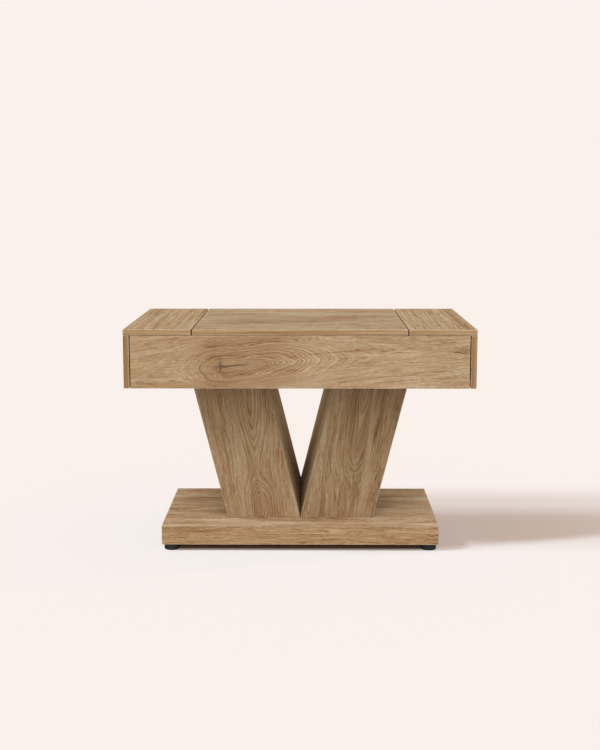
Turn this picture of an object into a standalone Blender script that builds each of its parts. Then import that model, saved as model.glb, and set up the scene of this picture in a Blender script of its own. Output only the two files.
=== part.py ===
"""Coffee table with a lifting centre lid on a V pedestal.

Metres, +Z up, front towards -Y. The origin lies on the floor under the middle of the table.
Run with: blender --background --python part.py
"""

import math

import bmesh
import bpy
from mathutils import Vector

# Boards and fits
BOARD = 0.015  # thickness of every panel
FIT = 0.0003  # gap between pieces that rest on each other
ARRIS = 0.0008  # eased edge of a board
HOLE_CLEARANCE = 0.0003  # hole radius less the radius of what goes through it

# Cabinet
TOP_WIDTH = 0.900
TOP_DEPTH = 0.550
WALL_HEIGHT = 0.136  # cabinet walls, under the top boards
LID_WIDTH = 0.548
SEAM_GAP = 0.0035  # between the lid and the fixed top boards
FRONT_END_GAP = 0.0028  # shadow gap at each end of the front panel
FRONT_TOP_GAP = 0.0012  # shadow gap over the front panel

# Legs
LEG_WIDTH = 0.196  # level width of one leg
LEG_DEPTH = 0.320
LEG_SETBACK = 0.088  # from the front of the base to the legs
LEG_HEIGHT = 0.382
LEG_SPREAD = 0.096  # how far a leg leans outwards over its height
LEG_CLOSING = 0.0095  # how far each side of the V closes in from front to back
BLOCK_HEIGHT = 0.030  # fixing blocks inside the legs

# Base
BASE_WIDTH = 0.736
BASE_DEPTH = 0.414
BASE_HEIGHT = 0.050
FOOT_DIAMETER = 0.041
FOOT_HEIGHT = 0.017
FOOT_INSET = 0.004  # from the edge of the base to the side of the foot
FOOT_ROUNDING = 0.004

# Bolts that hold the legs
BOLT_DIAMETER = 0.006
BOLT_SPACING = 0.180
BOLT_GRIP = 0.024  # length in the block
BOLT_HEAD_DIAMETER = 0.013
BOLT_HEAD_HEIGHT = 0.0035
BOLT_HEAD_CHAMFER = 0.0015

# Lift mechanism
LIFT_ANGLE = math.radians(115)  # turn of the arms from closed to raised
ARM_LENGTH = 0.200  # pivot to pivot
ARM_SPACING = 0.130  # front pivot to rear pivot
ARM_WIDTH = 0.018
ARM_GAP = 0.002  # between the closed arms, which lie side by side
ARM_THICKNESS = 0.003
LID_RAIL_SETBACK = 0.046  # between the lid rails and the back panel
LID_PIVOT_DROP = 0.022  # upper pivots, under the lid
RAIL_THICKNESS = 0.002
RAIL_MARGIN = 0.016  # metal left round the outermost holes of a rail
LID_RAIL_FLANGE = 0.024  # level flange, screwed to the lid
LID_RAIL_LIP = 0.011  # metal from the upper pivots down to the rail's lower edge
SIDE_PLAY = 0.001  # between the bars of the mechanism
PIN_DIAMETER = 0.006
PIN_HEAD_DIAMETER = 0.011
PIN_HEAD_HEIGHT = 0.0016
PIN_HEAD_CHAMFER = 0.001

# Lift springs
EAR_RADIUS = 0.026  # lower front pivot to the spring hole in the front arm
SPRING_LENGTH = 0.190  # hole to hole, lid closed
SPRING_CURLS = 18
POINTS_PER_CURL = 8
COIL_RADIUS = 0.0045  # to the middle of the wire
WIRE_DIAMETER = 0.0016
HOOK_RUN = 0.014  # straight wire between a hook and the coil
HOOK_BEND = 0.003  # radius of a hook's bend
BEND_STEPS = 4

# Roundness
HOLE_SIDES = 16
FOOT_SIDES = 32
CAP_SIDES = 8  # half circle at the end of an arm
ROUNDING_STEPS = 4

# Heights
BASE_TOP = FOOT_HEIGHT + BASE_HEIGHT
CABINET_BOTTOM = BASE_TOP + LEG_HEIGHT
WALL_TOP = CABINET_BOTTOM + WALL_HEIGHT
TABLE_TOP = WALL_TOP + BOARD

# Cabinet planes
HALF_WIDTH = TOP_WIDTH / 2
HALF_DEPTH = TOP_DEPTH / 2
INNER_HALF_WIDTH = HALF_WIDTH - BOARD
INNER_HALF_DEPTH = HALF_DEPTH - BOARD
SEAM_X = LID_WIDTH / 2 + SEAM_GAP / 2
DIVIDER_FACE = SEAM_X - BOARD / 2

# Leg geometry
LEG_SLOPE = LEG_SPREAD / LEG_HEIGHT
LEG_WALL = BOARD * math.hypot(1, LEG_SLOPE)  # level thickness of a slanted board
LEG_FRONT = LEG_SETBACK - BASE_DEPTH / 2
LEG_BACK = LEG_FRONT + LEG_DEPTH
LEG_MEETING = LEG_CLOSING / LEG_SLOPE  # height over the base where the sides of the V meet at the back

# Planes of the mechanism, from the divider inwards
BASE_RAIL_OUT = DIVIDER_FACE - FIT
BASE_RAIL_IN = BASE_RAIL_OUT - RAIL_THICKNESS
ARM_OUT = BASE_RAIL_IN - SIDE_PLAY
ARM_IN = ARM_OUT - ARM_THICKNESS
LID_RAIL_OUT = ARM_IN - SIDE_PLAY
LID_RAIL_IN = LID_RAIL_OUT - RAIL_THICKNESS
SPRING_X = ARM_IN - FIT - PIN_HEAD_HEIGHT - SIDE_PLAY / 2 - COIL_RADIUS - WIRE_DIAMETER / 2

# Pivots, as (y, z)
ARM_REST_ANGLE = math.asin((ARM_WIDTH + ARM_GAP) / ARM_SPACING)  # rise of the closed arms
ARM_REACH = ARM_LENGTH * math.cos(ARM_REST_ANGLE)
ARM_RISE = ARM_LENGTH * math.sin(ARM_REST_ANGLE)
LID_PIVOT_Z = WALL_TOP - LID_PIVOT_DROP
REAR_UPPER = (INNER_HALF_DEPTH - LID_RAIL_SETBACK - RAIL_MARGIN, LID_PIVOT_Z)
FRONT_UPPER = (REAR_UPPER[0] - ARM_SPACING, LID_PIVOT_Z)
REAR_LOWER = (REAR_UPPER[0] - ARM_REACH, LID_PIVOT_Z - ARM_RISE)
FRONT_LOWER = (FRONT_UPPER[0] - ARM_REACH, LID_PIVOT_Z - ARM_RISE)

# The ear hangs so that it swings the spring's end straight back, level at both limits
EAR_ANGLE = -(math.pi + LIFT_ANGLE) / 2
EAR = (
    FRONT_LOWER[0] + EAR_RADIUS * math.cos(EAR_ANGLE),
    FRONT_LOWER[1] + EAR_RADIUS * math.sin(EAR_ANGLE),
)
SPRING_ANCHOR = (EAR[0] + SPRING_LENGTH, EAR[1])

# Finishes: colour, roughness, metallic
OAK = ((0.48, 0.32, 0.17), 0.45, 0.0)
OAK_SHADE = ((0.40, 0.26, 0.13), 0.5, 0.0)
RAW_BOARD = ((0.52, 0.40, 0.26), 0.8, 0.0)
BLACK_PLASTIC = ((0.012, 0.012, 0.013), 0.4, 0.0)
BLACK_STEEL = ((0.03, 0.03, 0.033), 0.4, 0.6)
ZINC = ((0.62, 0.62, 0.6), 0.35, 1.0)

SIDES = (("left", -1), ("right", 1))
ENDS = (("front", -1), ("back", 1))


def clear_scene():
    for old in list(bpy.data.objects):
        bpy.data.objects.remove(old, do_unlink=True)


def add_empty(name, world, parent=None):
    """An empty on a joint axis. Its world place is kept, for what is parented to it."""
    empty = bpy.data.objects.new(name, None)
    empty.empty_display_size = 0.05
    bpy.context.scene.collection.objects.link(empty)
    empty["world"] = world
    place(empty, world, parent)
    return empty


def place(obj, world, parent=None):
    """Puts an object at a world point, under an unturned parent."""
    start = Vector(parent["world"]) if parent else Vector()
    obj.parent = parent
    obj.location = Vector(world) - start


def add_object(name, data, world, finish, parent=None):
    obj = bpy.data.objects.new(name, data)
    bpy.context.scene.collection.objects.link(obj)
    place(obj, world, parent)
    colour, roughness, metallic = finish
    material = bpy.data.materials.new(name + "_finish")
    material.use_nodes = True
    shader = material.node_tree.nodes["Principled BSDF"]
    shader.inputs["Base Color"].default_value = (*colour, 1)
    shader.inputs["Roughness"].default_value = roughness
    shader.inputs["Metallic"].default_value = metallic
    data.materials.append(material)
    return obj


def mesh_from(bm, name):
    bmesh.ops.recalc_face_normals(bm, faces=bm.faces)
    mesh = bpy.data.meshes.new(name)
    bm.to_mesh(mesh)
    bm.free()
    return mesh


def level_corners(x0, x1, y0, y1, z):
    return [(x0, y0, z), (x1, y0, z), (x1, y1, z), (x0, y1, z)]


def block(name, first, second, finish, parent=None, arris=ARRIS):
    """A solid between two faces with as many corners each, with its origin in its middle."""
    points = [Vector(p) for p in (*first, *second)]
    middle = sum(points, Vector()) / len(points)
    bm = bmesh.new()
    verts = [bm.verts.new(p - middle) for p in points]
    count = len(first)
    near, far = verts[:count], verts[count:]
    bm.faces.new(near)
    bm.faces.new(far)
    for i in range(count):
        j = (i + 1) % count
        bm.faces.new((near[i], near[j], far[j], far[i]))
    obj = add_object(name, mesh_from(bm, name), middle, finish, parent)
    if arris:
        ease = obj.modifiers.new("eased_edges", "BEVEL")
        ease.width = arris
        ease.segments = 1
        ease.limit_method = "ANGLE"
        ease.angle_limit = math.radians(30)
    return obj


def board(name, x, y, z, finish, parent=None):
    """A square-edged board, given its lowest and highest x, y and z."""
    return block(name, level_corners(*x, *y, z[0]), level_corners(*x, *y, z[1]), finish, parent)


def turned(name, profile, world, finish, parent=None, sides=HOLE_SIDES, turn=None):
    """A solid of revolution from (radius, height) points, on the Z axis or turned from it."""
    bm = bmesh.new()
    verts = [bm.verts.new((r, 0, h)) for r, h in profile]
    edges = [bm.edges.new(pair) for pair in zip(verts, verts[1:])]
    bmesh.ops.spin(
        bm, geom=verts + edges, axis=(0, 0, 1), cent=(0, 0, 0), steps=sides, angle=2 * math.pi
    )
    bmesh.ops.remove_doubles(bm, verts=bm.verts, dist=1e-6)
    mesh = mesh_from(bm, name)
    obj = add_object(name, mesh, world, finish, parent)
    if turn:
        obj.rotation_euler = turn
    mesh.shade_smooth()
    mesh.set_sharp_from_angle(angle=math.radians(35))
    return obj


def cutter(name, radius, length, world, turn=None):
    """A round cutting rod, left out of the finished table. It starts at its place."""
    profile = [(0, 0), (radius, 0), (radius, length), (0, length)]
    rod = turned(name, profile, world, ZINC, turn=turn)
    rod.hide_render = True
    rod.display_type = "WIRE"
    return rod


def cut(obj, rod):
    hole = obj.modifiers.new(rod.name, "BOOLEAN")
    hole.operation = "DIFFERENCE"
    hole.solver = "EXACT"
    hole.object = rod


def circle(centre, radius):
    step = 2 * math.pi / HOLE_SIDES
    return [
        (centre[0] + radius * math.cos(i * step), centre[1] + radius * math.sin(i * step))
        for i in range(HOLE_SIDES)
    ]


def plate(name, outlines, x0, x1, pivot, finish, parent=None):
    """A flat metal bar standing in a YZ plane: the first outline is its edge, the others are holes."""
    curve = bpy.data.curves.new(name, "CURVE")
    curve.dimensions = "2D"
    curve.fill_mode = "BOTH"
    curve.extrude = abs(x1 - x0) / 2
    for outline in outlines:
        spline = curve.splines.new("POLY")
        spline.points.add(len(outline) - 1)
        spline.use_cyclic_u = True
        for point, (y, z) in zip(spline.points, outline):
            point.co = (y - pivot[0], z - pivot[1], 0, 1)
    obj = add_object(name, curve, ((x0 + x1) / 2, *pivot), finish, parent)
    obj.rotation_euler = (math.pi / 2, 0, math.pi / 2)
    return obj


def bar_outline(path, width):
    """The edge of a flat bar along a path of (y, z) points, with round ends."""
    points = [Vector(p) for p in path]
    runs = [(b - a).normalized() for a, b in zip(points, points[1:])]
    half = width / 2

    def cap(centre, forward):
        """Half a circle round an end, from its right side to its left."""
        base = math.atan2(forward.y, forward.x) - math.pi / 2
        angles = [base + math.pi * i / CAP_SIDES for i in range(CAP_SIDES + 1)]
        return [(centre.x + half * math.cos(a), centre.y + half * math.sin(a)) for a in angles]

    left = []
    right = []
    for point, before, after in zip(points[1:-1], runs, runs[1:]):
        across = (before + after).normalized()
        normal = Vector((-across.y, across.x))
        reach = half / normal.dot(Vector((-before.y, before.x)))
        left.append(tuple(point + normal * reach))
        right.append(tuple(point - normal * reach))
    return cap(points[-1], runs[-1]) + left[::-1] + cap(points[0], -runs[0]) + right


def build_cabinet():
    walls = (CABINET_BOTTOM, WALL_TOP - FIT)
    for side, sign in SIDES:
        x = sorted((sign * INNER_HALF_WIDTH, sign * HALF_WIDTH))
        board(side + "_side_panel", x, (-HALF_DEPTH, HALF_DEPTH), walls, OAK)
    front_reach = INNER_HALF_WIDTH - FRONT_END_GAP
    front_walls = (CABINET_BOTTOM, WALL_TOP - FRONT_TOP_GAP)
    board("front_panel", (-front_reach, front_reach), (-HALF_DEPTH, -INNER_HALF_DEPTH), front_walls, OAK)
    back_reach = INNER_HALF_WIDTH - FIT
    board("back_panel", (-back_reach, back_reach), (INNER_HALF_DEPTH, HALF_DEPTH), walls, OAK)
    inside_y = (FIT - INNER_HALF_DEPTH, INNER_HALF_DEPTH - FIT)
    floor = (CABINET_BOTTOM, CABINET_BOTTOM + BOARD)
    bottom = board("bottom_panel", (-back_reach, back_reach), inside_y, floor, OAK)
    for side, sign in SIDES:
        x = sorted((sign * DIVIDER_FACE, sign * (DIVIDER_FACE + BOARD)))
        board(side + "_divider", x, inside_y, (floor[1] + FIT, walls[1]), OAK)
    return bottom


def build_top(lid_axis):
    thickness = (WALL_TOP, TABLE_TOP)
    depth = (-HALF_DEPTH, HALF_DEPTH)
    for side, sign in SIDES:
        x = sorted((sign * (LID_WIDTH / 2 + SEAM_GAP), sign * HALF_WIDTH))
        board(side + "_top_panel", x, depth, thickness, OAK)
    board("lid_panel", (-LID_WIDTH / 2, LID_WIDTH / 2), depth, thickness, OAK, lid_axis)


def slanted(name, sign, x, y, z, finish):
    """A leaning board or block: x is its level span from the middle of the table at the foot of the leg."""
    ends = []
    for height in z:
        lean = LEG_SLOPE * (height - BASE_TOP)
        span = sorted((sign * (x[0] + lean), sign * (x[1] + lean)))
        ends.append(level_corners(*span, *y, height))
    return block(name, *ends, finish)


def leg_back_board(side, sign, x, z):
    """The board behind a leg, as wide as the V leaves it: straight up beside its twin, then leaning out."""
    lean = [LEG_SLOPE * (height - BASE_TOP) for height in z]
    outline = [
        (x[0], z[0]),
        (x[0], BASE_TOP + LEG_MEETING),
        (x[0] + lean[1] - LEG_CLOSING, z[1]),
        (x[1] + lean[1], z[1]),
        (x[1] + lean[0], z[0]),
    ]
    faces = [[(sign * across, y, up) for across, up in outline] for y in (LEG_BACK - BOARD, LEG_BACK)]
    block(side + "_leg_back_board", *faces, OAK_SHADE)


def leg_inner_board(side, sign, x, y, z):
    """The board inside the V. Towards the back it closes in on its twin, and its foot rises to meet it."""
    ends = []
    for depth in y:
        closing = LEG_CLOSING * (depth - LEG_FRONT) / LEG_DEPTH
        foot = z[0] + closing / LEG_SLOPE
        low, high = [x + LEG_SLOPE * (height - BASE_TOP) - closing for height in (foot, z[1])]
        outline = [(low, foot), (low + LEG_WALL, foot), (high + LEG_WALL, z[1]), (high, z[1])]
        ends.append([(sign * across, depth, up) for across, up in outline])
    block(side + "_leg_inner_board", *ends, OAK_SHADE)


def build_leg(side, sign):
    """One hollow leg. Returns its top and bottom blocks."""
    inner = FIT / 2
    outer = inner + LEG_WIDTH
    height = (BASE_TOP + FIT, CABINET_BOTTOM - FIT)
    between = (LEG_FRONT + BOARD + FIT, LEG_BACK - BOARD - FIT)
    front = (LEG_FRONT, LEG_FRONT + BOARD)
    slanted(side + "_leg_front_board", sign, (inner, outer), front, height, OAK_SHADE)
    leg_back_board(side, sign, (inner, outer), height)
    leg_inner_board(side, sign, inner, between, height)
    slanted(side + "_leg_outer_board", sign, (outer - LEG_WALL, outer), between, height, OAK_SHADE)
    hollow = (inner + LEG_WALL + FIT, outer - LEG_WALL - FIT)
    top = slanted(
        side + "_leg_top_block", sign, hollow, between, (height[1] - BLOCK_HEIGHT, height[1]), RAW_BOARD
    )
    bottom = slanted(
        side + "_leg_bottom_block", sign, hollow, between, (height[0], height[0] + BLOCK_HEIGHT), RAW_BOARD
    )
    return top, bottom


def leg_bolt(name, x, y, seat, up, through):
    """A bolt whose head lies on a board at height seat. It points up or down into a leg block."""
    shank = BOARD + FIT + BOLT_GRIP
    radius = BOLT_DIAMETER / 2
    head = BOLT_HEAD_DIAMETER / 2
    profile = [
        (0, -FIT - BOLT_HEAD_HEIGHT),
        (head - BOLT_HEAD_CHAMFER, -FIT - BOLT_HEAD_HEIGHT),
        (head, BOLT_HEAD_CHAMFER - FIT - BOLT_HEAD_HEIGHT),
        (head, -FIT),
        (radius, -FIT),
        (radius, shank),
        (0, shank),
    ]
    turn = (0, 0, 0) if up else (math.pi, 0, 0)
    turned(name, profile, (x, y, seat), ZINC, turn=turn)
    reach = BOARD + BLOCK_HEIGHT * 2
    start = seat - BLOCK_HEIGHT / 2 if up else seat + BLOCK_HEIGHT / 2
    rod = cutter(name + "_hole", radius + HOLE_CLEARANCE, reach, (x, y, start), turn)
    for obj in through:
        cut(obj, rod)


def build_legs(bottom_panel, base_top_board):
    for side, sign in SIDES:
        top_block, bottom_block = build_leg(side, sign)
        foot_x = sign * (FIT / 2 + LEG_WIDTH / 2)
        head_x = foot_x + sign * LEG_SPREAD
        for end, end_sign in ENDS:
            y = (LEG_FRONT + LEG_BACK + end_sign * BOLT_SPACING) / 2
            leg_bolt(
                f"{side}_leg_top_{end}_bolt",
                head_x,
                y,
                CABINET_BOTTOM + BOARD,
                False,
                (bottom_panel, top_block),
            )
            leg_bolt(
                f"{side}_leg_bottom_{end}_bolt",
                foot_x,
                y,
                BASE_TOP - BOARD,
                True,
                (base_top_board, bottom_block),
            )


def build_base():
    """A thick-looking base: mitred rails round a top board and a bottom board. Returns the top board."""
    half_x = BASE_WIDTH / 2
    half_y = BASE_DEPTH / 2
    in_x = half_x - BOARD
    in_y = half_y - BOARD
    mitre_gap = FIT * math.sqrt(2)
    low = FOOT_HEIGHT
    edge = BASE_TOP - mitre_gap
    top = block(
        "base_top_board",
        level_corners(-in_x, in_x, -in_y, in_y, BASE_TOP - BOARD),
        level_corners(-half_x, half_x, -half_y, half_y, BASE_TOP),
        OAK,
        arris=0,
    )
    for end, sign in ENDS:
        outside = [(x, sign * half_y, z) for x, z in rail_face(half_x, low, edge)]
        inside = [(x, sign * in_y, z) for x, z in rail_face(in_x, low, edge - BOARD)]
        block(f"base_{end}_rail", outside, inside, OAK, arris=0)
    for side, sign in SIDES:
        outside = [(sign * half_x, y, z) for y, z in rail_face(half_y - mitre_gap, low, edge)]
        inside = [(sign * in_x, y, z) for y, z in rail_face(in_y - mitre_gap, low, edge - BOARD)]
        block(f"base_{side}_rail", outside, inside, OAK, arris=0)
    board(
        "base_bottom_board",
        (FIT - in_x, in_x - FIT),
        (FIT - in_y, in_y - FIT),
        (low, low + BOARD),
        RAW_BOARD,
    )
    return top


def rail_face(reach, low, high):
    return [(-reach, low), (reach, low), (reach, high), (-reach, high)]


def build_feet():
    radius = FOOT_DIAMETER / 2
    height = FOOT_HEIGHT - FIT
    rounding = [
        (radius - FOOT_ROUNDING * (1 - math.sin(a)), FOOT_ROUNDING * (1 - math.cos(a)))
        for a in (math.pi / 2 * i / ROUNDING_STEPS for i in range(ROUNDING_STEPS + 1))
    ]
    profile = [(0, 0), *rounding, (radius, height), (0, height)]
    for side, x_sign in SIDES:
        for end, y_sign in ENDS:
            x = x_sign * (BASE_WIDTH / 2 - FOOT_INSET - radius)
            y = y_sign * (BASE_DEPTH / 2 - FOOT_INSET - radius)
            turned(f"{end}_{side}_foot", profile, (x, y, 0), BLACK_PLASTIC, sides=FOOT_SIDES)


def base_rail(side, sign):
    """Upright plate on the divider, with the lower pivots and the spring's anchor hole."""
    low = EAR[1] - RAIL_MARGIN
    high = FRONT_LOWER[1] + RAIL_MARGIN
    start = FRONT_LOWER[0] - RAIL_MARGIN
    stop = max(SPRING_ANCHOR[0], REAR_LOWER[0]) + RAIL_MARGIN
    outline = [(start, low), (stop, low), (stop, high), (start, high)]
    holes = [circle(p, PIN_DIAMETER / 2 + HOLE_CLEARANCE) for p in (FRONT_LOWER, REAR_LOWER)]
    holes.append(circle(SPRING_ANCHOR, WIRE_DIAMETER / 2 + HOLE_CLEARANCE))
    plate(
        side + "_base_rail",
        [outline, *holes],
        sign * BASE_RAIL_IN,
        sign * BASE_RAIL_OUT,
        FRONT_LOWER,
        BLACK_STEEL,
    )


def lid_rail(side, sign, lid_axis):
    """Angle section under the lid, with the upper pivots in its upright flange."""
    top = WALL_TOP - FIT
    low = LID_PIVOT_Z - LID_RAIL_LIP
    inside = LID_RAIL_OUT - LID_RAIL_FLANGE
    section = [
        (LID_RAIL_OUT, top),
        (inside, top),
        (inside, top - RAIL_THICKNESS),
        (LID_RAIL_IN, top - RAIL_THICKNESS),
        (LID_RAIL_IN, low),
        (LID_RAIL_OUT, low),
    ]
    start = FRONT_UPPER[0] - RAIL_MARGIN
    stop = REAR_UPPER[0] + RAIL_MARGIN
    pivot = Vector((0, *FRONT_UPPER))
    bm = bmesh.new()
    verts = [bm.verts.new(Vector((sign * x, start, z)) - pivot) for x, z in section]
    profile = bm.faces.new(verts)
    swept = bmesh.ops.extrude_face_region(bm, geom=[profile])
    moved = [v for v in swept["geom"] if isinstance(v, bmesh.types.BMVert)]
    bmesh.ops.translate(bm, verts=moved, vec=(0, stop - start, 0))
    name = side + "_lid_rail"
    rail = add_object(name, mesh_from(bm, name), pivot, BLACK_STEEL, lid_axis)
    across = (0, sign * math.pi / 2, 0)
    for end, (y, z) in (("front", FRONT_UPPER), ("rear", REAR_UPPER)):
        rod = cutter(
            f"{side}_lid_rail_{end}_hole",
            PIN_DIAMETER / 2 + HOLE_CLEARANCE,
            RAIL_THICKNESS * 3,
            (sign * (LID_RAIL_IN - RAIL_THICKNESS), y, z),
            across,
        )
        cut(rail, rod)


def lift_arm(name, sign, path, pivot_points, small_holes, parent):
    holes = [circle(p, PIN_DIAMETER / 2 + HOLE_CLEARANCE) for p in pivot_points]
    holes += [circle(p, WIRE_DIAMETER / 2 + HOLE_CLEARANCE) for p in small_holes]
    outlines = [bar_outline(path, ARM_WIDTH), *holes]
    plate(name, outlines, sign * ARM_IN, sign * ARM_OUT, pivot_points[0], BLACK_STEEL, parent)


def pivot_pin(name, sign, start, stop, pivot, parent=None):
    """A rivet with its head inwards: start is its headed end, stop its flush end, along x."""
    radius = PIN_DIAMETER / 2
    head = PIN_HEAD_DIAMETER / 2
    length = stop - start
    profile = [
        (0, -PIN_HEAD_HEIGHT),
        (head - PIN_HEAD_CHAMFER, -PIN_HEAD_HEIGHT),
        (head, PIN_HEAD_CHAMFER - PIN_HEAD_HEIGHT),
        (head, 0),
        (radius, 0),
        (radius, length),
        (0, length),
    ]
    turned(name, profile, (sign * start, *pivot), ZINC, parent, turn=(0, sign * math.pi / 2, 0))


def spring_path(sign):
    """Points of one spring's wire, from the hook in the arm's ear to the hook in the base rail."""
    near = Vector((SPRING_X, *EAR))
    far = Vector((SPRING_X, *SPRING_ANCHOR))
    coil_length = SPRING_LENGTH - 2 * HOOK_RUN
    steps = SPRING_CURLS * POINTS_PER_CURL

    def hook(corner, along, wire_end):
        """From the wire's end in its hole, inwards, round a bend and along the spring."""
        points = [Vector((wire_end, corner.y, corner.z)), Vector((SPRING_X + HOOK_BEND, corner.y, corner.z))]
        for i in range(1, BEND_STEPS + 1):
            a = math.pi / 2 * i / BEND_STEPS
            inward = HOOK_BEND * (1 - math.sin(a))
            forward = HOOK_BEND * (1 - math.cos(a)) * along
            points.append(corner + Vector((inward, forward, 0)))
        return points

    coil = []
    for i in range(steps + 1):
        turn = 2 * math.pi * i / POINTS_PER_CURL
        ease = min(1, min(i, steps - i) / (POINTS_PER_CURL / 2))
        radius = COIL_RADIUS * ease * ease * (3 - 2 * ease)
        along = HOOK_RUN + coil_length * i / steps
        coil.append(near + Vector((radius * math.sin(turn), along, -radius * math.cos(turn))))
    start = hook(near, 1, ARM_OUT - FIT)
    stop = hook(far, -1, BASE_RAIL_OUT - FIT)
    return [Vector((sign * p.x, p.y, p.z)) for p in start + coil + stop[::-1]]


def least_gap(points):
    """The clear space between turns of the wire that aren't next to each other."""
    apart = POINTS_PER_CURL * 3 // 4
    pairs = ((a, b) for i, a in enumerate(points) for b in points[i + apart :])
    return min((a - b).length for a, b in pairs) - WIRE_DIAMETER


def lift_spring(side, sign):
    points = spring_path(sign)
    print(f"{side}_lift_spring: least gap {least_gap(points) * 1000:.2f} mm")
    curve = bpy.data.curves.new(side + "_lift_spring", "CURVE")
    curve.dimensions = "3D"
    curve.bevel_depth = WIRE_DIAMETER / 2
    curve.bevel_resolution = 1
    curve.use_fill_caps = True
    anchor = Vector((sign * SPRING_X, *SPRING_ANCHOR))
    spline = curve.splines.new("POLY")
    spline.points.add(len(points) - 1)
    for target, point in zip(spline.points, points):
        target.co = (*(point - anchor), 1)
    add_object(side + "_lift_spring", curve, anchor, ZINC)


def build_mechanism(front_axis, rear_axis, lid_axis):
    head_seat = ARM_IN - FIT
    lid_head_seat = LID_RAIL_IN - FIT
    for side, sign in SIDES:
        base_rail(side, sign)
        lid_rail(side, sign, lid_axis)
        lift_arm(
            side + "_front_arm",
            sign,
            (EAR, FRONT_LOWER, FRONT_UPPER),
            (FRONT_LOWER, FRONT_UPPER),
            (EAR,),
            front_axis,
        )
        lift_arm(
            side + "_rear_arm", sign, (REAR_LOWER, REAR_UPPER), (REAR_LOWER, REAR_UPPER), (), rear_axis
        )
        for end, lower, upper in (("front", FRONT_LOWER, FRONT_UPPER), ("rear", REAR_LOWER, REAR_UPPER)):
            pivot_pin(f"{side}_{end}_lower_pin", sign, head_seat, BASE_RAIL_OUT, lower)
            pivot_pin(f"{side}_{end}_upper_pin", sign, lid_head_seat, ARM_OUT, upper, lid_axis)
        lift_spring(side, sign)


def main():
    clear_scene()
    front_axis = add_empty("front_arm_axis", (0, *FRONT_LOWER))
    rear_axis = add_empty("rear_arm_axis", (0, *REAR_LOWER))
    lid_axis = add_empty("lid_axis", (0, *FRONT_UPPER), front_axis)
    bottom_panel = build_cabinet()
    build_top(lid_axis)
    base_top_board = build_base()
    build_feet()
    build_legs(bottom_panel, base_top_board)
    build_mechanism(front_axis, rear_axis, lid_axis)


main()
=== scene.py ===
"""Looks of a lift-top coffee table: oak-grain boards, black feet and the steel lift mechanism."""

import itertools
import math
from dataclasses import dataclass

import bmesh
import bpy
from bpy.props import FloatProperty, FloatVectorProperty, IntProperty, PointerProperty
from mathutils import Matrix, Vector


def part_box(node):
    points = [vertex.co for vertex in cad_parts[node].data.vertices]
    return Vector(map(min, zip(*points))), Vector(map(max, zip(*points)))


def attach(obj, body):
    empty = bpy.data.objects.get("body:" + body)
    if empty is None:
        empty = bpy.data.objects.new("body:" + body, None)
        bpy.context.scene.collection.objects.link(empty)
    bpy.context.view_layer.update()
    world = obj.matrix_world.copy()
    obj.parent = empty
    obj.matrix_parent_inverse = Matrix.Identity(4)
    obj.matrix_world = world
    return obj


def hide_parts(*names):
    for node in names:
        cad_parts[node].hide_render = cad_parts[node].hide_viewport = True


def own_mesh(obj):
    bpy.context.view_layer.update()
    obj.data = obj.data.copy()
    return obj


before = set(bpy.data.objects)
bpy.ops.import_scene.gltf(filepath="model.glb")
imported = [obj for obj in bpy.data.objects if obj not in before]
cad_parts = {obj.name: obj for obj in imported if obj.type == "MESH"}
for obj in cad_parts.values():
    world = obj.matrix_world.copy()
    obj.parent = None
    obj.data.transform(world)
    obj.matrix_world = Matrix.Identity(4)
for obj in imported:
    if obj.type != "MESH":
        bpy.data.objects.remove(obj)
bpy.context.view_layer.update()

bl_info = {
    "name": "Lift-Top Coffee Table Looks",
    "version": (1, 0, 0),
    "blender": (4, 5, 0),
    "location": "View3D > Sidebar > Table",
    "description": "Dresses a lift-top coffee table in oak-grain boards, steel fittings and a pale stage",
    "category": "Object",
}

X = Vector((1, 0, 0))
Y = Vector((0, 1, 0))
Z = Vector((0, 0, 1))
SIDES = (("left", -1), ("right", 1))
ENDS = (("front", -1), ("back", 1))
LETTERS = ("A", "B", "C")  # of the eyes and cracks that one board can have

# Steps round turned pieces and along their rounded edges
FOOT_STEPS = 64
BOLT_STEPS = 36
PIN_STEPS = 32
EDGE_STEPS = 8
BOLT_EDGE_STEPS = 5
HOOK_STEPS = 8
HEX_SIDES = 6
SCREW_SIDES = 24

# Shares of a screw head's diameter
SCREW_TOP = 0.34  # radius of its upper face
CROSS_REACH = 0.56  # length of the cross in it
CROSS_SLIT = 0.13  # width of the cross

# When faces count as one plane, and corners as level
SAME_FACING = 0.9999
SAME_PLANE = 1e-5
SAME_LEVEL = 1e-4

TWIN_GAP = 0.00004  # left between two boards that meet in the middle of the table
LAMP_DISTANCE = 3.0

# Noise in the oak foil: rates along and across the grain in 1/m, and a shift that sets each apart
SLOW_BEND = (1.7, 7.0, 0.0)
QUICK_BEND = (8.0, 40.0, 4.0)
FEATHERS = (18.0, 330.0, 12.0)
CALM_RINGS = (2.6, 13.0, 9.0)
BROAD_STREAKS = (3.6, 24.0, 14.0)
STREAKS = (5.0, 170.0, 2.0)
THREADS = (15.0, 430.0, 3.0)
FIBRES = (75.0, 900.0, 16.0)
DASHES = (15.0, 330.0, 7.0)
SPARKS = (18.0, 300.0, 18.0)
PATCHES = (2.2, 10.0, 6.0)
FLECKS = (15.0, 190.0, 5.0)
PORES = (70.0, 950.0, 8.0)
KNOT_EDGE = (120.0, 200.0, 1.0)
CRACK_WOBBLE = (55.0, 1.0, 7.0)
SIDE_DRIFT = 30.0  # how fast all the noise changes from one side of a board to the other

QUICK_SHARE = 0.1  # of the grain's bend, in its quick wander
PATCH_TINT = (0.89, 0.8, 0.71)
KNOT_ARMS = ((1.7, 0.45), (0.42, 1.6))  # along and across the grain, in knot radii
SPECK = 1e-5  # keeps a length of 0 from being divided by


def colour_property(name, description, default):
    return FloatVectorProperty(
        name=name, description=description, default=default, subtype="COLOR", size=3, min=0, max=1
    )


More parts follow.
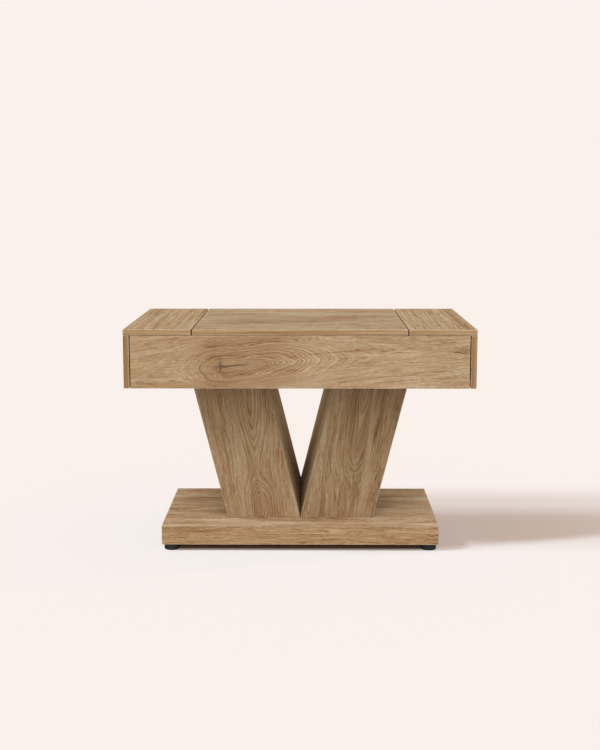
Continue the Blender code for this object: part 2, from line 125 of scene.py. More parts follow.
def tint_property(name, description, default):
    return FloatVectorProperty(name=name, description=description, default=default, size=3, min=0, max=3)


def length_property(name, description, default):
    return FloatProperty(name=name, description=description, default=default, min=0, unit="LENGTH")


def amount_property(name, description, default):
    return FloatProperty(name=name, description=description, default=default, min=0)


def share_property(name, description, default):
    return FloatProperty(name=name, description=description, default=default, min=0, max=1)


def angle_property(name, description, degrees):
    return FloatProperty(name=name, description=description, default=math.radians(degrees), unit="ROTATION")


def direction_property(name, description, default):
    return FloatVectorProperty(name=name, description=description, default=default, size=3)


class OakLook(bpy.types.PropertyGroup):
    """Tones and grain of the oak-effect boards"""

    cream: colour_property("Cream", "Lightest streaks of the grain", (0.57, 0.44, 0.285))
    mid: colour_property("Mid", "Ground tone of the foil", (0.425, 0.282, 0.158))
    brown: colour_property("Brown", "Dark streaks of the grain", (0.245, 0.122, 0.05))
    deep: colour_property("Deep", "Pores, knots and cracks", (0.09, 0.052, 0.03))
    lid_tint: tint_property("Lid tint", "Tint of the lid's foil", (0.93, 1.0, 1.11))
    top_tint: tint_property("Top tint", "Tint of the fixed top boards' foil", (0.925, 0.955, 0.985))
    # Both leg tints are partly the legs' own darker foil and partly painted shade; the right leg's is darker
    # still, painted shade from light falling from the left.
    left_leg: tint_property("Left leg", "Tint of the left leg's darker foil", (0.85, 0.84, 0.81))
    right_leg: tint_property("Right leg", "Tint of the right leg's darker foil", (0.77, 0.75, 0.71))
    # Painted light: the boards inside the V are lightened well above the foil's tone.
    inner_leg_painted_light: tint_property("Inner leg", "Tint of the boards inside the V", (1.72, 1.94, 2.14))
    # Painted light: the base's upper board is lightened above the foil's tone, under the cabinet's shade.
    base_painted_light: tint_property("Base tint", "Tint of the base's upper board", (1.25, 1.31, 1.4))
    band: colour_property("Edge band", "Ground tone of the edge bands", (0.385, 0.232, 0.117))
    band_dark: colour_property("Band streaks", "Dark streaks of the edge bands", (0.262, 0.137, 0.058))
    wall_tint: tint_property("Wall tint", "Darker edge bands of the side panels", (0.86, 0.8, 0.73))
    rail_tint: tint_property("Rail tint", "Darker foil round the base", (0.9, 0.82, 0.73))
    # The arris colour is a painted highlight on the rounded edges, lighter than the foil.
    arris_highlight: colour_property("Arris", "Rubbed, rounded edges of the boards", (0.6, 0.47, 0.32))
    bend: length_property("Grain bend", "How far the grain wanders sideways", 0.036)
    feather: length_property("Feather", "How far fibres shift the rings along the grain", 0.0035)
    edge_radius: length_property("Edge radius", "Rounding of the banded edges", 0.0013)
    fold_radius: length_property("Fold radius", "Rounding of the cabinet's and the base's edges", 0.0009)


class FittingLook(bpy.types.PropertyGroup):
    """Steel and plastic fittings"""

    steel: colour_property("Black steel", "Powder coat of the rails and arms", (0.02, 0.02, 0.022))
    zinc: colour_property("Zinc", "Pins, bolts and screws", (0.6, 0.6, 0.58))
    spring: colour_property("Spring steel", "Lift springs", (0.34, 0.34, 0.35))
    plastic: colour_property("Black plastic", "Feet", (0.012, 0.012, 0.0125))
    plate_edge: length_property("Plate edge", "Rounding of the steel plates", 0.0004)
    pin_diameter: length_property("Pin diameter", "Shanks of the pivot pins", 0.006)
    bolt_diameter: length_property("Bolt diameter", "Shanks of the leg bolts", 0.006)
    bolt_head: length_property("Bolt head", "Height of a leg bolt's head", 0.0035)
    socket_width: length_property("Hex socket", "Width across the flats of a bolt's socket", 0.005)
    screw_head: length_property("Screw head", "Diameter of the rail screws' heads", 0.0076)
    screw_height: length_property("Screw height", "Height of the rail screws' heads", 0.0019)
    curls: IntProperty(name="Curls", description="Curls of a lift spring", default=18, min=1)
    coil_radius: length_property("Coil radius", "Middle of the wire from the spring's axis", 0.0045)
    wire: length_property("Wire", "Diameter of the spring wire", 0.0016)
    hook_run: length_property("Hook run", "Straight wire between a hook and the coil", 0.014)
    hook_bend: length_property("Hook bend", "Radius of a hook's bend", 0.003)


class StageLook(bpy.types.PropertyGroup):
    """Floor and light"""

    floor: colour_property("Floor", "Pale floor and background", (0.96, 0.88, 0.838))
    ambient: amount_property("Ambient", "Level of the light from all round", 0.7)
    ambient_tint: colour_property("Ambient tint", "Colour of the light from all round", (1.0, 0.985, 0.965))
    side: amount_property("Side lamp", "Light on the floor from the left", 6.16)
    side_tint: colour_property("Side tint", "Colour that leaves a warm shadow", (0.223, 0.475, 1.0))
    low: amount_property("Low lamps", "Light on the table from each side of the front", 0.08)
    high: amount_property("High lamp", "Light on the table from above the front", 0.41)
    floor_bounce: colour_property("Floor bounce", "Light from the floor on the table", (0.67, 0.68, 0.69))


def oak_look():
    return bpy.context.scene.table_oak


def fitting_look():
    return bpy.context.scene.table_fittings


def stage_look():
    return bpy.context.scene.table_stage


class Wiring:
    """Adds nodes to one node tree and links them."""

    def __init__(self, tree):
        self.tree = tree

    def put(self, socket, value):
        if isinstance(value, bpy.types.NodeSocket):
            self.tree.links.new(value, socket)
        else:
            socket.default_value = value

    def add(self, kind, inputs=None, **settings):
        node = self.tree.nodes.new(kind)
        for name, value in settings.items():
            setattr(node, name, value)
        for name, value in (inputs or {}).items():
            self.put(node.inputs[name], value)
        return node

    def math(self, operation, *values):
        node = self.add("ShaderNodeMath", operation=operation)
        for socket, value in zip(node.inputs, values):
            self.put(socket, value)
        return node.outputs[0]

    def total(self, *values):
        result = values[0]
        for value in values[1:]:
            result = self.math("ADD", result, value)
        return result

    def product(self, *values):
        result = values[0]
        for value in values[1:]:
            result = self.math("MULTIPLY", result, value)
        return result

    def less(self, value, taken):
        return self.math("SUBTRACT", value, taken)

    def ratio(self, value, unit):
        return self.math("DIVIDE", value, unit)

    def swing(self, value, amount):
        """A value that runs from 0 to 1, centred on 0 and scaled."""
        return self.product(self.less(value, 0.5), amount)

    def dot(self, vector, direction):
        node = self.add("ShaderNodeVectorMath", operation="DOT_PRODUCT")
        self.put(node.inputs[0], vector)
        self.put(node.inputs[1], direction)
        return node.outputs["Value"]

    def join(self, x, y, z):
        return self.add("ShaderNodeCombineXYZ", {"X": x, "Y": y, "Z": z}).outputs[0]

    def split(self, vector):
        return self.add("ShaderNodeSeparateXYZ", {"Vector": vector}).outputs

    def noise(self, vector, scale=1.0, detail=2.0, roughness=0.5):
        inputs = {"Vector": vector, "Scale": scale, "Detail": detail, "Roughness": roughness}
        return self.add("ShaderNodeTexNoise", inputs).outputs[0]

    def span(self, value, low, high, start=0.0, end=1.0):
        """Eases from start to end as the value goes from low to high."""
        inputs = {"Value": value, "From Min": low, "From Max": high, "To Min": start, "To Max": end}
        return self.add("ShaderNodeMapRange", inputs, interpolation_type="SMOOTHSTEP").outputs[0]

    def ramp(self, value, stops, interpolation="EASE"):
        node = self.add("ShaderNodeValToRGB", {"Fac": value})
        node.color_ramp.interpolation = interpolation
        elements = node.color_ramp.elements
        while len(elements) < len(stops):
            elements.new(1.0)
        for element, (place, tone) in zip(elements, stops):
            element.position = place
            element.color = (*tone, 1) if isinstance(tone, (tuple, list)) else (tone, tone, tone, 1)
        return node.outputs[0]

    def mix(self, factor, first, second, blend="MIX"):
        node = self.add("ShaderNodeMix", data_type="RGBA", blend_type=blend)
        self.put(node.inputs[0], factor)
        self.put(node.inputs[6], first)
        self.put(node.inputs[7], second)
        return node.outputs[2]


def solid(tone):
    return (*tone, 1)


def new_finish(name):
    """A node material, its wiring and its shader."""
    material = bpy.data.materials.new(name)
    material.use_nodes = True
    wiring = Wiring(material.node_tree)
    shader = material.node_tree.nodes["Principled BSDF"]
    return material, wiring, shader


def object_place(wiring):
    return wiring.add("ShaderNodeTexCoord").outputs["Object"]


def relief(wiring, shader, height, depth, strength=1.0):
    bump = wiring.add("ShaderNodeBump", {"Height": height, "Distance": depth, "Strength": strength})
    wiring.put(shader.inputs["Normal"], bump.outputs[0])


def group_socket(tree, name, kind, in_out="INPUT"):
    tree.interface.new_socket(name, in_out=in_out, socket_type="NodeSocket" + kind)


class OakGrain(Wiring):
    """Draws oak foil in a node group, in metres along and across the grain of a board's face."""

    def __init__(self, tree):
        super().__init__(tree)
        self.look = oak_look()
        self.given = self.add("NodeGroupInput").outputs
        self.along, self.across, _ = self.split(self.given["Place"])
        self.knot_along, self.knot_across, self.knot_radius = self.split(self.given["Knot"])
        self.has_knot = self.math("GREATER_THAN", self.knot_radius, 0.0)
        self.past_knot = self.less(self.along, self.knot_along)
        slow = self.swing(self.layer(SLOW_BEND, self.across), self.look.bend)
        quick = self.swing(self.layer(QUICK_BEND, self.across), self.look.bend * QUICK_SHARE)
        self.line = self.total(self.across, slow, quick)
        self.close_on_eyes()
        self.count_rings()

    def layer(self, kind, line, detail=2.0, roughness=0.5):
        """One kind of noise, drawn out along the grain and set apart by the board's seed."""
        along_rate, across_rate, shift = kind
        place = self.join(
            self.product(self.along, along_rate),
            self.product(line, across_rate),
            self.total(self.given["Seed"], shift, self.product(self.across, SIDE_DRIFT)),
        )
        return self.noise(place, detail=detail, roughness=roughness)

    def close_on_eyes(self):
        """How near a place is to the eyes of the grain, and how many rings off along and across it."""
        feathers = self.swing(self.layer(FEATHERS, self.across), self.look.feather)
        feathered = self.total(self.along, feathers)
        near = 0.0
        sideways = 0.0
        for letter in LETTERS:
            eye_along, eye_across, share = self.split(self.given[f"Eye {letter}"])
            off = self.ratio(self.less(feathered, eye_along), self.given[f"Eye {letter} Length"])
            pull = self.product(self.math("EXPONENT", self.product(off, off, -1.0)), share)
            near = self.total(near, pull)
            sideways = self.total(sideways, self.product(pull, eye_across))
        axis = self.ratio(sideways, self.total(near, 0.06))
        left_open = self.math("MAXIMUM", self.less(1.02, near), 0.0)
        self.near = near
        self.rings_along = self.product(left_open, self.given["Rings"])
        off_axis = self.ratio(self.less(self.line, axis), self.given["Spacing"])
        self.rings_across = self.math("ABSOLUTE", off_axis)

    def ring_number(self, power):
        """Rings counted from an eye: pointed ones for a power of 1, oval ones for 2."""
        along = self.math("POWER", self.rings_along, power)
        across = self.math("POWER", self.rings_across, power)
        return self.math("POWER", self.total(across, along), self.ratio(1.0, power))

    def count_rings(self):
        """The age of the wood at a place, in uneven years, and how far that lies inside an eye's rings."""
        even = self.ring_number(self.given["Roundness"])
        self.year = self.noise(self.join(even, 0.3, self.given["Seed"]), 0.8, 1.0)
        self.age = self.total(even, self.swing(self.year, 1.2))
        outermost = self.total(self.given["Rings"], 0.1)
        self.inside = self.span(self.ratio(self.age, outermost), 0.7, 1.25, 1.0, 0.0)
        self.figure = self.product(self.span(self.near, 0.12, 0.5), self.inside)

    def ring_lines(self):
        """Light and dark lines of the rings, faint away from the eyes and light ones faint by a knot."""
        ring = self.math("FRACT", self.age)
        light_line = self.ramp(ring, [(0.0, 0.2), (0.12, 1.0), (0.34, 0.2), (0.6, 0.0), (1.0, 0.2)])
        dark_line = self.ramp(ring, [(0.0, 0.4), (0.12, 0.0), (0.5, 0.1), (0.86, 1.0), (1.0, 0.4)])
        faint = self.product(self.has_knot, self.span(self.past_knot, -0.03, 0.09, 0.6, 0.0))
        light = self.product(light_line, self.given["Light Rings"], self.less(1.0, faint))
        lines = self.less(light, self.product(dark_line, self.given["Dark Rings"]))
        calm = self.span(self.layer(CALM_RINGS, self.across), 0.36, 0.66, 0.05, 0.45)
        return self.product(lines, self.math("MAXIMUM", calm, self.figure))

    def narrow_marks(self, thread, fibre):
        """Streaks, threads, fibres, dashes and sparks along the grain, weaker among an eye's rings."""
        oval = self.product(self.ring_number(1.5), self.given["Spacing"])
        streak = self.layer(STREAKS, oval, roughness=0.6)
        dash = self.span(self.layer(DASHES, self.line, 1.0), 0.58, 0.78)
        spark = self.span(self.layer(SPARKS, self.line, 1.0), 0.6, 0.78)
        marks = self.total(
            self.swing(streak, 0.6),
            self.swing(thread, 0.85),
            self.swing(fibre, 0.85),
            self.product(dash, -0.34),
            self.product(spark, 0.22),
        )
        clear_of_rings = self.less(1.0, self.product(self.figure, 0.45))
        return self.product(marks, self.product(self.given["Fine"], clear_of_rings))

    def dark_ring(self):
        """One ring that is nearly black as far as the knot."""
        off = self.math("ABSOLUTE", self.less(self.age, self.given["Dark Ring"]))
        before_knot = self.span(self.past_knot, 0.0, 0.09, 1.0, 0.0)
        return self.product(self.span(off, 0.06, 0.42, 1.0, 0.0), before_knot)

    def knot(self):
        """A ragged cross, with one arm along the grain and one across it."""
        reach = self.total(self.knot_radius, SPECK)
        ragged = self.swing(self.layer(KNOT_EDGE, self.across), 1.3)
        off_along = self.total(self.ratio(self.past_knot, reach), ragged)
        off_across = self.total(self.ratio(self.less(self.across, self.knot_across), reach), ragged)
        arms = []
        for long, wide in KNOT_ARMS:
            spread = self.total(
                self.math("POWER", self.ratio(off_along, long), 2.0),
                self.math("POWER", self.ratio(off_across, wide), 2.0),
            )
            arms.append(self.math("EXPONENT", self.product(spread, -1.0)))
        return self.product(self.math("MAXIMUM", *arms), self.has_knot)

    def cracks(self):
        """Wobbly cracks, which thin out towards their far ends."""
        wobble = self.swing(self.layer(CRACK_WOBBLE, 0.5), 0.011)
        crack = 0.0
        for letter in LETTERS:
            start, middle, length = self.split(self.given[f"Crack {letter}"])
            share = self.ratio(self.less(self.along, start), self.total(length, SPECK))
            within = self.product(self.span(share, 0.0, 0.1), self.span(share, 0.55, 1.0, 1.0, 0.0))
            aside = self.math("ABSOLUTE", self.total(self.less(self.across, middle), wobble))
            thickness = self.math("MULTIPLY_ADD", length, 0.02, 0.0011)
            drawn = self.product(self.span(aside, 0.0006, thickness, 1.0, 0.0), within)
            crack = self.math("MAXIMUM", crack, drawn)
        return crack

    def stain(self, colour, where, share, tone, blend="MIX"):
        """Lays a share of a tone over a colour where a mask is 1."""
        return self.mix(self.product(where, share), colour, solid(tone), blend)

    def draw(self):
        """Wires the group's colour, height and roughness."""
        look = self.look
        flow = self.product(self.ring_number(1.25), self.given["Spacing"])
        thread = self.layer(THREADS, flow, roughness=0.6)
        fibre = self.layer(FIBRES, self.line, 1.0)
        pore = self.span(self.layer(PORES, self.line, 1.0), 0.6, 0.7)
        crack = self.cracks()
        tone = self.total(
            0.53,
            self.ring_lines(),
            self.product(self.span(self.near, 0.35, 0.9), self.inside, self.given["Shade"], -1.0),
            self.swing(self.year, 0.2),
            self.swing(self.layer(BROAD_STREAKS, self.line), self.given["Broad"]),
            self.narrow_marks(thread, fibre),
        )
        tones = [(0.1, tuple(look.brown)), (0.5, tuple(look.mid)), (0.9, tuple(look.cream))]
        colour = self.ramp(tone, tones, "LINEAR")
        patch = self.span(self.layer(PATCHES, self.across, 1.0), 0.42, 0.68)
        colour = self.stain(colour, patch, 0.5, PATCH_TINT, "MULTIPLY")
        fleck = self.span(self.layer(FLECKS, self.line, 1.0), 0.68, 0.78)
        colour = self.stain(colour, fleck, 0.55, look.brown)
        for where, share in ((pore, 0.22), (self.dark_ring(), 0.6), (self.knot(), 0.85), (crack, 0.85)):
            colour = self.stain(colour, where, share, look.deep)
        raised = self.total(self.product(fibre, 0.5), self.product(thread, 0.4))
        height = self.less(raised, self.math("MAXIMUM", self.product(pore, 0.8), crack))
        roughness = self.total(0.62, self.swing(thread, -0.22), self.product(pore, 0.14))
        made = self.add("NodeGroupOutput").inputs
        for name, value in (("Colour", colour), ("Height", height), ("Roughness", roughness)):
            self.put(made[name], value)


def oak_foil_group():
    """The node group that draws oak foil, made once."""
    known = bpy.data.node_groups.get("oak_foil")
    if known:
        return known
    tree = bpy.data.node_groups.new("oak_foil", "ShaderNodeTree")
    group_socket(tree, "Place", "Vector")
    strengths = ("Light Rings", "Dark Rings", "Shade", "Broad", "Fine")
    for name in ("Seed", "Rings", "Spacing", "Roundness", *strengths, "Dark Ring"):
        group_socket(tree, name, "Float")
    for letter in LETTERS:
        group_socket(tree, f"Eye {letter}", "Vector")
        group_socket(tree, f"Eye {letter} Length", "Float")
        group_socket(tree, f"Crack {letter}", "Vector")
    group_socket(tree, "Knot", "Vector")
    group_socket(tree, "Colour", "Color", "OUTPUT")
    group_socket(tree, "Height", "Float", "OUTPUT")
    group_socket(tree, "Roughness", "Float", "OUTPUT")
    OakGrain(tree).draw()
    return tree


@dataclass
class Figure:
    """What marks one board's face: rings round eyes in the grain, a knot and cracks, from the board's middle.

    An eye is (along, across, share of the rings it closes, length), a knot (along, across, radius), a
    crack (along, across, length). Light and dark are the strengths of the rings' lines, broad that of
    the widest streaks, fine that of the narrow ones, shade that of the darker ground round the eyes.
    A painted foot shade is shade painted towards the face's lower end: (start, end, share of the tone left at
    the start), along the grain.
    """

    seed: float
    eyes: tuple = ()
    rings: int = 8
    light: float = 0.2
    dark: float = 0.2
    broad: float = 0.3
    spacing: float = 0.0048
    roundness: float = 1.6
    fine: float = 1.0
    shade: float = 0.04
    dark_ring: int = -1
    knot: tuple = (0, 0, 0)
    cracks: tuple = ()
    painted_foot_shade: tuple = ()


def grain_place(wiring, along, across, centre):
    """Object coordinates turned to distances along and across the grain from a board's middle."""
    offset = wiring.add("ShaderNodeVectorMath", operation="SUBTRACT")
    wiring.put(offset.inputs[0], object_place(wiring))
    wiring.put(offset.inputs[1], centre)
    moved = offset.outputs["Vector"]
    return wiring.dot(moved, along), wiring.dot(moved, across)


def oak_face(name, along, across, centre, figure, tint=None, gloss=0.03):
    """Oak foil on the wide faces of one board."""
    material, w, shader = new_finish(name)
    along_grain, across_grain = grain_place(w, along, across, centre)
    foil = w.add("ShaderNodeGroup", node_tree=oak_foil_group())
    eyes = list(figure.eyes) + [(0, 0, 0, 1)] * (len(LETTERS) - len(figure.eyes))
    cracks = list(figure.cracks) + [(0, 0, 0)] * (len(LETTERS) - len(figure.cracks))
    given = {
        "Place": w.join(along_grain, across_grain, 0.0),
        "Seed": figure.seed,
        "Rings": figure.rings if figure.eyes else 0,
        "Spacing": figure.spacing,
        "Roundness": figure.roundness,
        "Light Rings": figure.light,
        "Dark Rings": figure.dark,
        "Shade": figure.shade,
        "Broad": figure.broad,
        "Fine": figure.fine,
        "Dark Ring": figure.dark_ring,
        "Knot": figure.knot,
    }
    for letter, eye, crack in zip(LETTERS, eyes, cracks):
        given[f"Eye {letter}"] = eye[:3]
        given[f"Eye {letter} Length"] = eye[3]
        given[f"Crack {letter}"] = crack
    for socket, value in given.items():
        w.put(foil.inputs[socket], value)
    colour = foil.outputs["Colour"]
    if tint:
        colour = w.mix(1.0, colour, solid(tint), "MULTIPLY")
    # Painted shade: the face darkens towards its lower end.
    if figure.painted_foot_shade:
        start, end, share = figure.painted_foot_shade
        colour = w.mix(1.0, colour, w.span(along_grain, start, end, share, 1.0), "MULTIPLY")
    w.put(shader.inputs["Base Color"], colour)
    w.put(shader.inputs["Roughness"], foil.outputs["Roughness"])
    shader.inputs["Specular IOR Level"].default_value = gloss
    relief(w, shader, foil.outputs["Height"], 0.00025, 0.6)
    return material


def oak_band(name, along, across, centre, seed, tint=(1, 1, 1)):
    """Straight-grained edge band, a shade redder than the foil."""
    look = oak_look()
    material, w, shader = new_finish(name)
    along_grain, across_grain = grain_place(w, along, across, centre)

    def layer(along_rate, across_rate, shift, detail):
        place = w.join(
            w.math("MULTIPLY", along_grain, along_rate),
            w.math("MULTIPLY", across_grain, across_rate),
            seed + shift,
        )
        return w.noise(place, detail=detail, roughness=0.6)

    streak = layer(3.5, 190.0, 0.0, 3.0)
    fibre = layer(30.0, 900.0, 5.0, 2.0)
    tone = w.total(0.5, w.swing(streak, 1.45), w.swing(fibre, 0.45))
    shades = (look.band_dark, look.band, look.cream)
    tones = [[part * share for part, share in zip(shade, tint)] for shade in shades]
    colour = w.ramp(tone, list(zip((0.2, 0.52, 0.95), tones)), "LINEAR")
    w.put(shader.inputs["Base Color"], colour)
    w.put(shader.inputs["Roughness"], w.total(0.46, w.swing(fibre, 0.2)))
    shader.inputs["Specular IOR Level"].default_value = 0.0
    relief(w, shader, w.total(streak, fibre), 0.0001, 0.5)
    return material


def arris_finish():
    """Lighter rounding of a board's edges: a painted highlight, broken by patches of the foil's own tones."""
    known = bpy.data.materials.get("oak_arris")
    if known:
        return known
    look = oak_look()
    material, w, shader = new_finish("oak_arris")
    highlight_patches = w.noise(object_place(w), 22.0, 4.0, 0.65)
    fine = w.noise(object_place(w), 700.0, 2.0)
    colour = w.mix(w.span(highlight_patches, 0.36, 0.66), solid(look.arris_highlight), solid(look.mid))
    colour = w.mix(w.swing(fine, 0.3), colour, solid(look.band))
    w.put(shader.inputs["Base Color"], colour)
    w.put(shader.inputs["Roughness"], w.span(highlight_patches, 0.3, 0.7, 0.36, 0.5))
    shader.inputs["Specular IOR Level"].default_value = 0.0
    return material


def raw_board_finish():
    """Pressed wood chips, unfaced."""
    known = bpy.data.materials.get("raw_board")
    if known:
        return known
    material, w, shader = new_finish("raw_board")
    place = object_place(w)
    chips = w.add("ShaderNodeTexVoronoi", {"Vector": place, "Scale": 420.0, "Randomness": 1.0})
    tint = w.split(chips.outputs["Color"])[0]
    cloud = w.noise(place, 35.0, 3.0)
    tone = w.total(w.math("MULTIPLY", tint, 0.6), w.math("MULTIPLY", cloud, 0.5))
    colour = w.ramp(tone, [(0.15, (0.3, 0.2, 0.11)), (0.5, (0.47, 0.34, 0.2)), (0.9, (0.62, 0.49, 0.33))])
    w.put(shader.inputs["Base Color"], colour)
    w.put(shader.inputs["Roughness"], w.span(tint, 0.0, 1.0, 0.72, 0.9))
    relief(w, shader, tone, 0.0004, 0.5)
    return material


def coat_finish(name, tone, rough, scale, depth, gloss):
    """A moulded or coated surface with a fine texture and faint cloudiness."""
    known = bpy.data.materials.get(name)
    if known:
        return known
    material, w, shader = new_finish(name)
    place = object_place(w)
    grit = w.noise(place, scale, 2.0)
    cloud = w.noise(place, 30.0, 3.0)
    lighter = tuple(min(1.0, part * 1.9 + 0.004) for part in tone)
    w.put(shader.inputs["Base Color"], w.ramp(cloud, [(0.3, tuple(tone)), (0.75, lighter)]))
    w.put(shader.inputs["Roughness"], w.total(rough, w.swing(cloud, 0.16), w.swing(grit, 0.1)))
    shader.inputs["Specular IOR Level"].default_value = gloss
    relief(w, shader, grit, depth, 0.6)
    return material


def metal_finish(name, tone, rough):
    """Plated steel with fine drawn marks and duller patches."""
    known = bpy.data.materials.get(name)
    if known:
        return known
    material, w, shader = new_finish(name)
    place = object_place(w)
    lengthwise = w.add("ShaderNodeMapping", {"Vector": place, "Scale": (2400, 160, 2400)}).outputs[0]
    drawn = w.noise(lengthwise, 1.0, 3.0)
    patch = w.noise(place, 140.0, 3.0)
    darker = tuple(part * 0.62 for part in tone)
    w.put(shader.inputs["Base Color"], w.ramp(patch, [(0.28, darker), (0.6, tuple(tone))]))
    w.put(shader.inputs["Roughness"], w.total(rough, w.swing(drawn, 0.2), w.swing(patch, -0.15)))
    shader.inputs["Metallic"].default_value = 1.0
    relief(w, shader, drawn, 0.00003, 0.5)
    return material


def steel_finish():
    tone = fitting_look().steel
    return coat_finish("black_steel", tone, rough=0.44, scale=2600.0, depth=0.00005, gloss=0.35)


def plastic_finish():
    tone = fitting_look().plastic
    return coat_finish("black_plastic", tone, rough=0.42, scale=1500.0, depth=0.00004, gloss=0.1)


def zinc_finish():
    return metal_finish("zinc_plate", fitting_look().zinc, rough=0.34)


def add_piece(name, bm, finishes, body, nodes):
    """Makes a finished piece that rides on a body and stands for CAD nodes."""
    mesh = bpy.data.meshes.new(name)
    bm.to_mesh(mesh)
    bm.free()
    for finish in finishes:
        mesh.materials.append(finish)
    return add_mesh_piece(name, mesh, body, nodes)


def add_mesh_piece(name, mesh, body, nodes=(), smooth=True):
    piece = bpy.data.objects.new(name, mesh)
    bpy.context.scene.collection.objects.link(piece)
    if smooth:
        mesh.shade_smooth()
        weighted = piece.modifiers.new("crisp_faces", "WEIGHTED_NORMAL")
        weighted.weight = 80
    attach(piece, body)
    if nodes:
        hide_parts(*nodes)
    return piece


def merged_copy(node):
    """A CAD node's mesh with its loose triangles joined to plain faces."""
    bm = bmesh.new()
    bm.from_mesh(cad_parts[node].data)
    bmesh.ops.remove_doubles(bm, verts=bm.verts, dist=1e-6)
    bmesh.ops.dissolve_limit(
        bm, angle_limit=math.radians(0.5), verts=bm.verts, edges=bm.edges, use_dissolve_boundaries=False
    )
    for face in bm.faces:
        face.material_index = 0
    return bm


def round_edges(bm, radius, segments, slot, least_angle=25):
    two_sided = [edge for edge in bm.edges if len(edge.link_faces) == 2]
    sharp = [edge for edge in two_sided if edge.calc_face_angle() > math.radians(least_angle)]
    bmesh.ops.bevel(
        bm,
        geom=sharp,
        offset=radius,
        offset_type="OFFSET",
        segments=segments,
        profile=0.5,
        affect="EDGES",
        clamp_overlap=True,
        material=slot,
    )


def main_planes(bm):
    """The six widest flat faces of a board, as area, normal and point, widest first."""
    found = []
    for face in bm.faces:
        point = face.calc_center_median()
        for plane in found:
            same = plane["normal"].dot(face.normal) > SAME_FACING
            if same and abs((point - plane["point"]).dot(face.normal)) < SAME_PLANE:
                plane["area"] += face.calc_area()
                break
        else:
            found.append({"area": face.calc_area(), "normal": face.normal.copy(), "point": point})
    found.sort(key=lambda plane: -plane["area"])
    return found[:6]


def board_corners(node):
    """The eight square corners of a board, by (thickness, width, length) side, before its edges are eased."""
    bm = merged_copy(node)
    planes = main_planes(bm)
    bm.free()
    pairs = []
    while planes:
        first = planes.pop(0)
        second = min(planes, key=lambda plane: plane["normal"].dot(first["normal"]))
        planes.remove(second)
        pairs.append((first, second))
    corners = {}
    for i, j, k in itertools.product(range(2), repeat=3):
        trio = (pairs[0][i], pairs[1][j], pairs[2][k])
        rows = Matrix([plane["normal"] for plane in trio])
        sides = Vector([plane["normal"].dot(plane["point"]) for plane in trio])
        corners[i, j, k] = rows.inverted() @ sides
    return corners


FACE_SLOT, LONG_BAND_SLOT, SHORT_BAND_SLOT, ARRIS_SLOT = range(4)
BOARD_SIDES = (
    ((0, 0, 0), (0, 0, 1), (0, 1, 1), (0, 1, 0), FACE_SLOT),
    ((1, 0, 0), (1, 0, 1), (1, 1, 1), (1, 1, 0), FACE_SLOT),
    ((0, 0, 0), (0, 0, 1), (1, 0, 1), (1, 0, 0), LONG_BAND_SLOT),
    ((0, 1, 0), (0, 1, 1), (1, 1, 1), (1, 1, 0), LONG_BAND_SLOT),
    ((0, 0, 0), (0, 1, 0), (1, 1, 0), (1, 0, 0), SHORT_BAND_SLOT),
    ((0, 0, 1), (0, 1, 1), (1, 1, 1), (1, 0, 1), SHORT_BAND_SLOT),
)


def end_at_twin(bm, sign):
    """Cuts a board off upright a hair from the middle of the table, where its twin meets it."""
    everything = [*bm.verts, *bm.edges, *bm.faces]
    middle = X * sign * TWIN_GAP / 2
    cut = bmesh.ops.bisect_plane(bm, geom=everything, plane_co=middle, plane_no=X * -sign, clear_outer=True)
    rim = [item for item in cut["geom_cut"] if isinstance(item, bmesh.types.BMEdge)]
    for face in bmesh.ops.holes_fill(bm, edges=rim)["faces"]:
        face.material_index = LONG_BAND_SLOT


def banded_board(
    node,
    along,
    across,
    figure,
    tint=None,
    band_tint=(1, 1, 1),
    radius=None,
    gloss=0.03,
    twin_sign=0,
    body="frame",
):
    """A faced board with banded, rounded edges in place of its CAD node."""
    corners = board_corners(node)
    centre = sum(corners.values(), Vector()) / len(corners)
    thickness = (corners[1, 0, 0] - corners[0, 0, 0]).normalized()
    width = (corners[0, 1, 0] - corners[0, 0, 0]).normalized()
    length = (corners[0, 0, 1] - corners[0, 0, 0]).normalized()
    bm = bmesh.new()
    verts = {key: bm.verts.new(point) for key, point in corners.items()}
    for *keys, index in BOARD_SIDES:
        face = bm.faces.new([verts[key] for key in keys])
        face.material_index = index
    if twin_sign:
        end_at_twin(bm, twin_sign)
    bmesh.ops.recalc_face_normals(bm, faces=bm.faces)
    round_edges(bm, radius or oak_look().edge_radius, 3, ARRIS_SLOT)
    finishes = [
        oak_face(node + "_foil", along, across, centre, figure, tint, gloss),
        oak_band(node + "_long_band", length, thickness, centre, figure.seed, band_tint),
        oak_band(node + "_short_band", width, thickness, centre, figure.seed + 20, band_tint),
        arris_finish(),
    ]
    return add_piece(node + "_finish", bm, finishes, body, [node])


def folded_board(node, along, across, figure, radius, tint=None, gloss=0.0):
    """A faced board whose foil runs on over its edges, in place of its CAD node."""
    lowest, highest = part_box(node)
    bm = merged_copy(node)
    round_edges(bm, radius, 2, 1)
    foil = oak_face(node + "_foil", along, across, (lowest + highest) / 2, figure, tint, gloss)
    return add_piece(node + "_finish", bm, [foil, arris_finish()], "frame", [node])


def lathe(profile, centre, axis, steps):
    """A turned solid from (radius, height) points, along an axis through a centre."""
    bm = bmesh.new()
    verts = [bm.verts.new((r, 0, h)) for r, h in profile]
    edges = [bm.edges.new(pair) for pair in zip(verts, verts[1:])]
    bmesh.ops.spin(bm, geom=verts + edges, axis=Z, cent=(0, 0, 0), steps=steps, angle=2 * math.pi)
    bmesh.ops.remove_doubles(bm, verts=bm.verts, dist=1e-7)
    bmesh.ops.recalc_face_normals(bm, faces=bm.faces)
    turn = Vector(axis).to_track_quat("Z", "Y").to_matrix().to_4x4()
    bmesh.ops.transform(bm, matrix=Matrix.Translation(centre) @ turn, verts=bm.verts)
    return bm


def arc(centre, radius, start, end, steps):
    """Points of an arc in a profile, from one angle to another in degrees."""
    angles = [math.radians(start + (end - start) * i / steps) for i in range(steps + 1)]
    return [(centre[0] + radius * math.cos(a), centre[1] + radius * math.sin(a)) for a in angles]


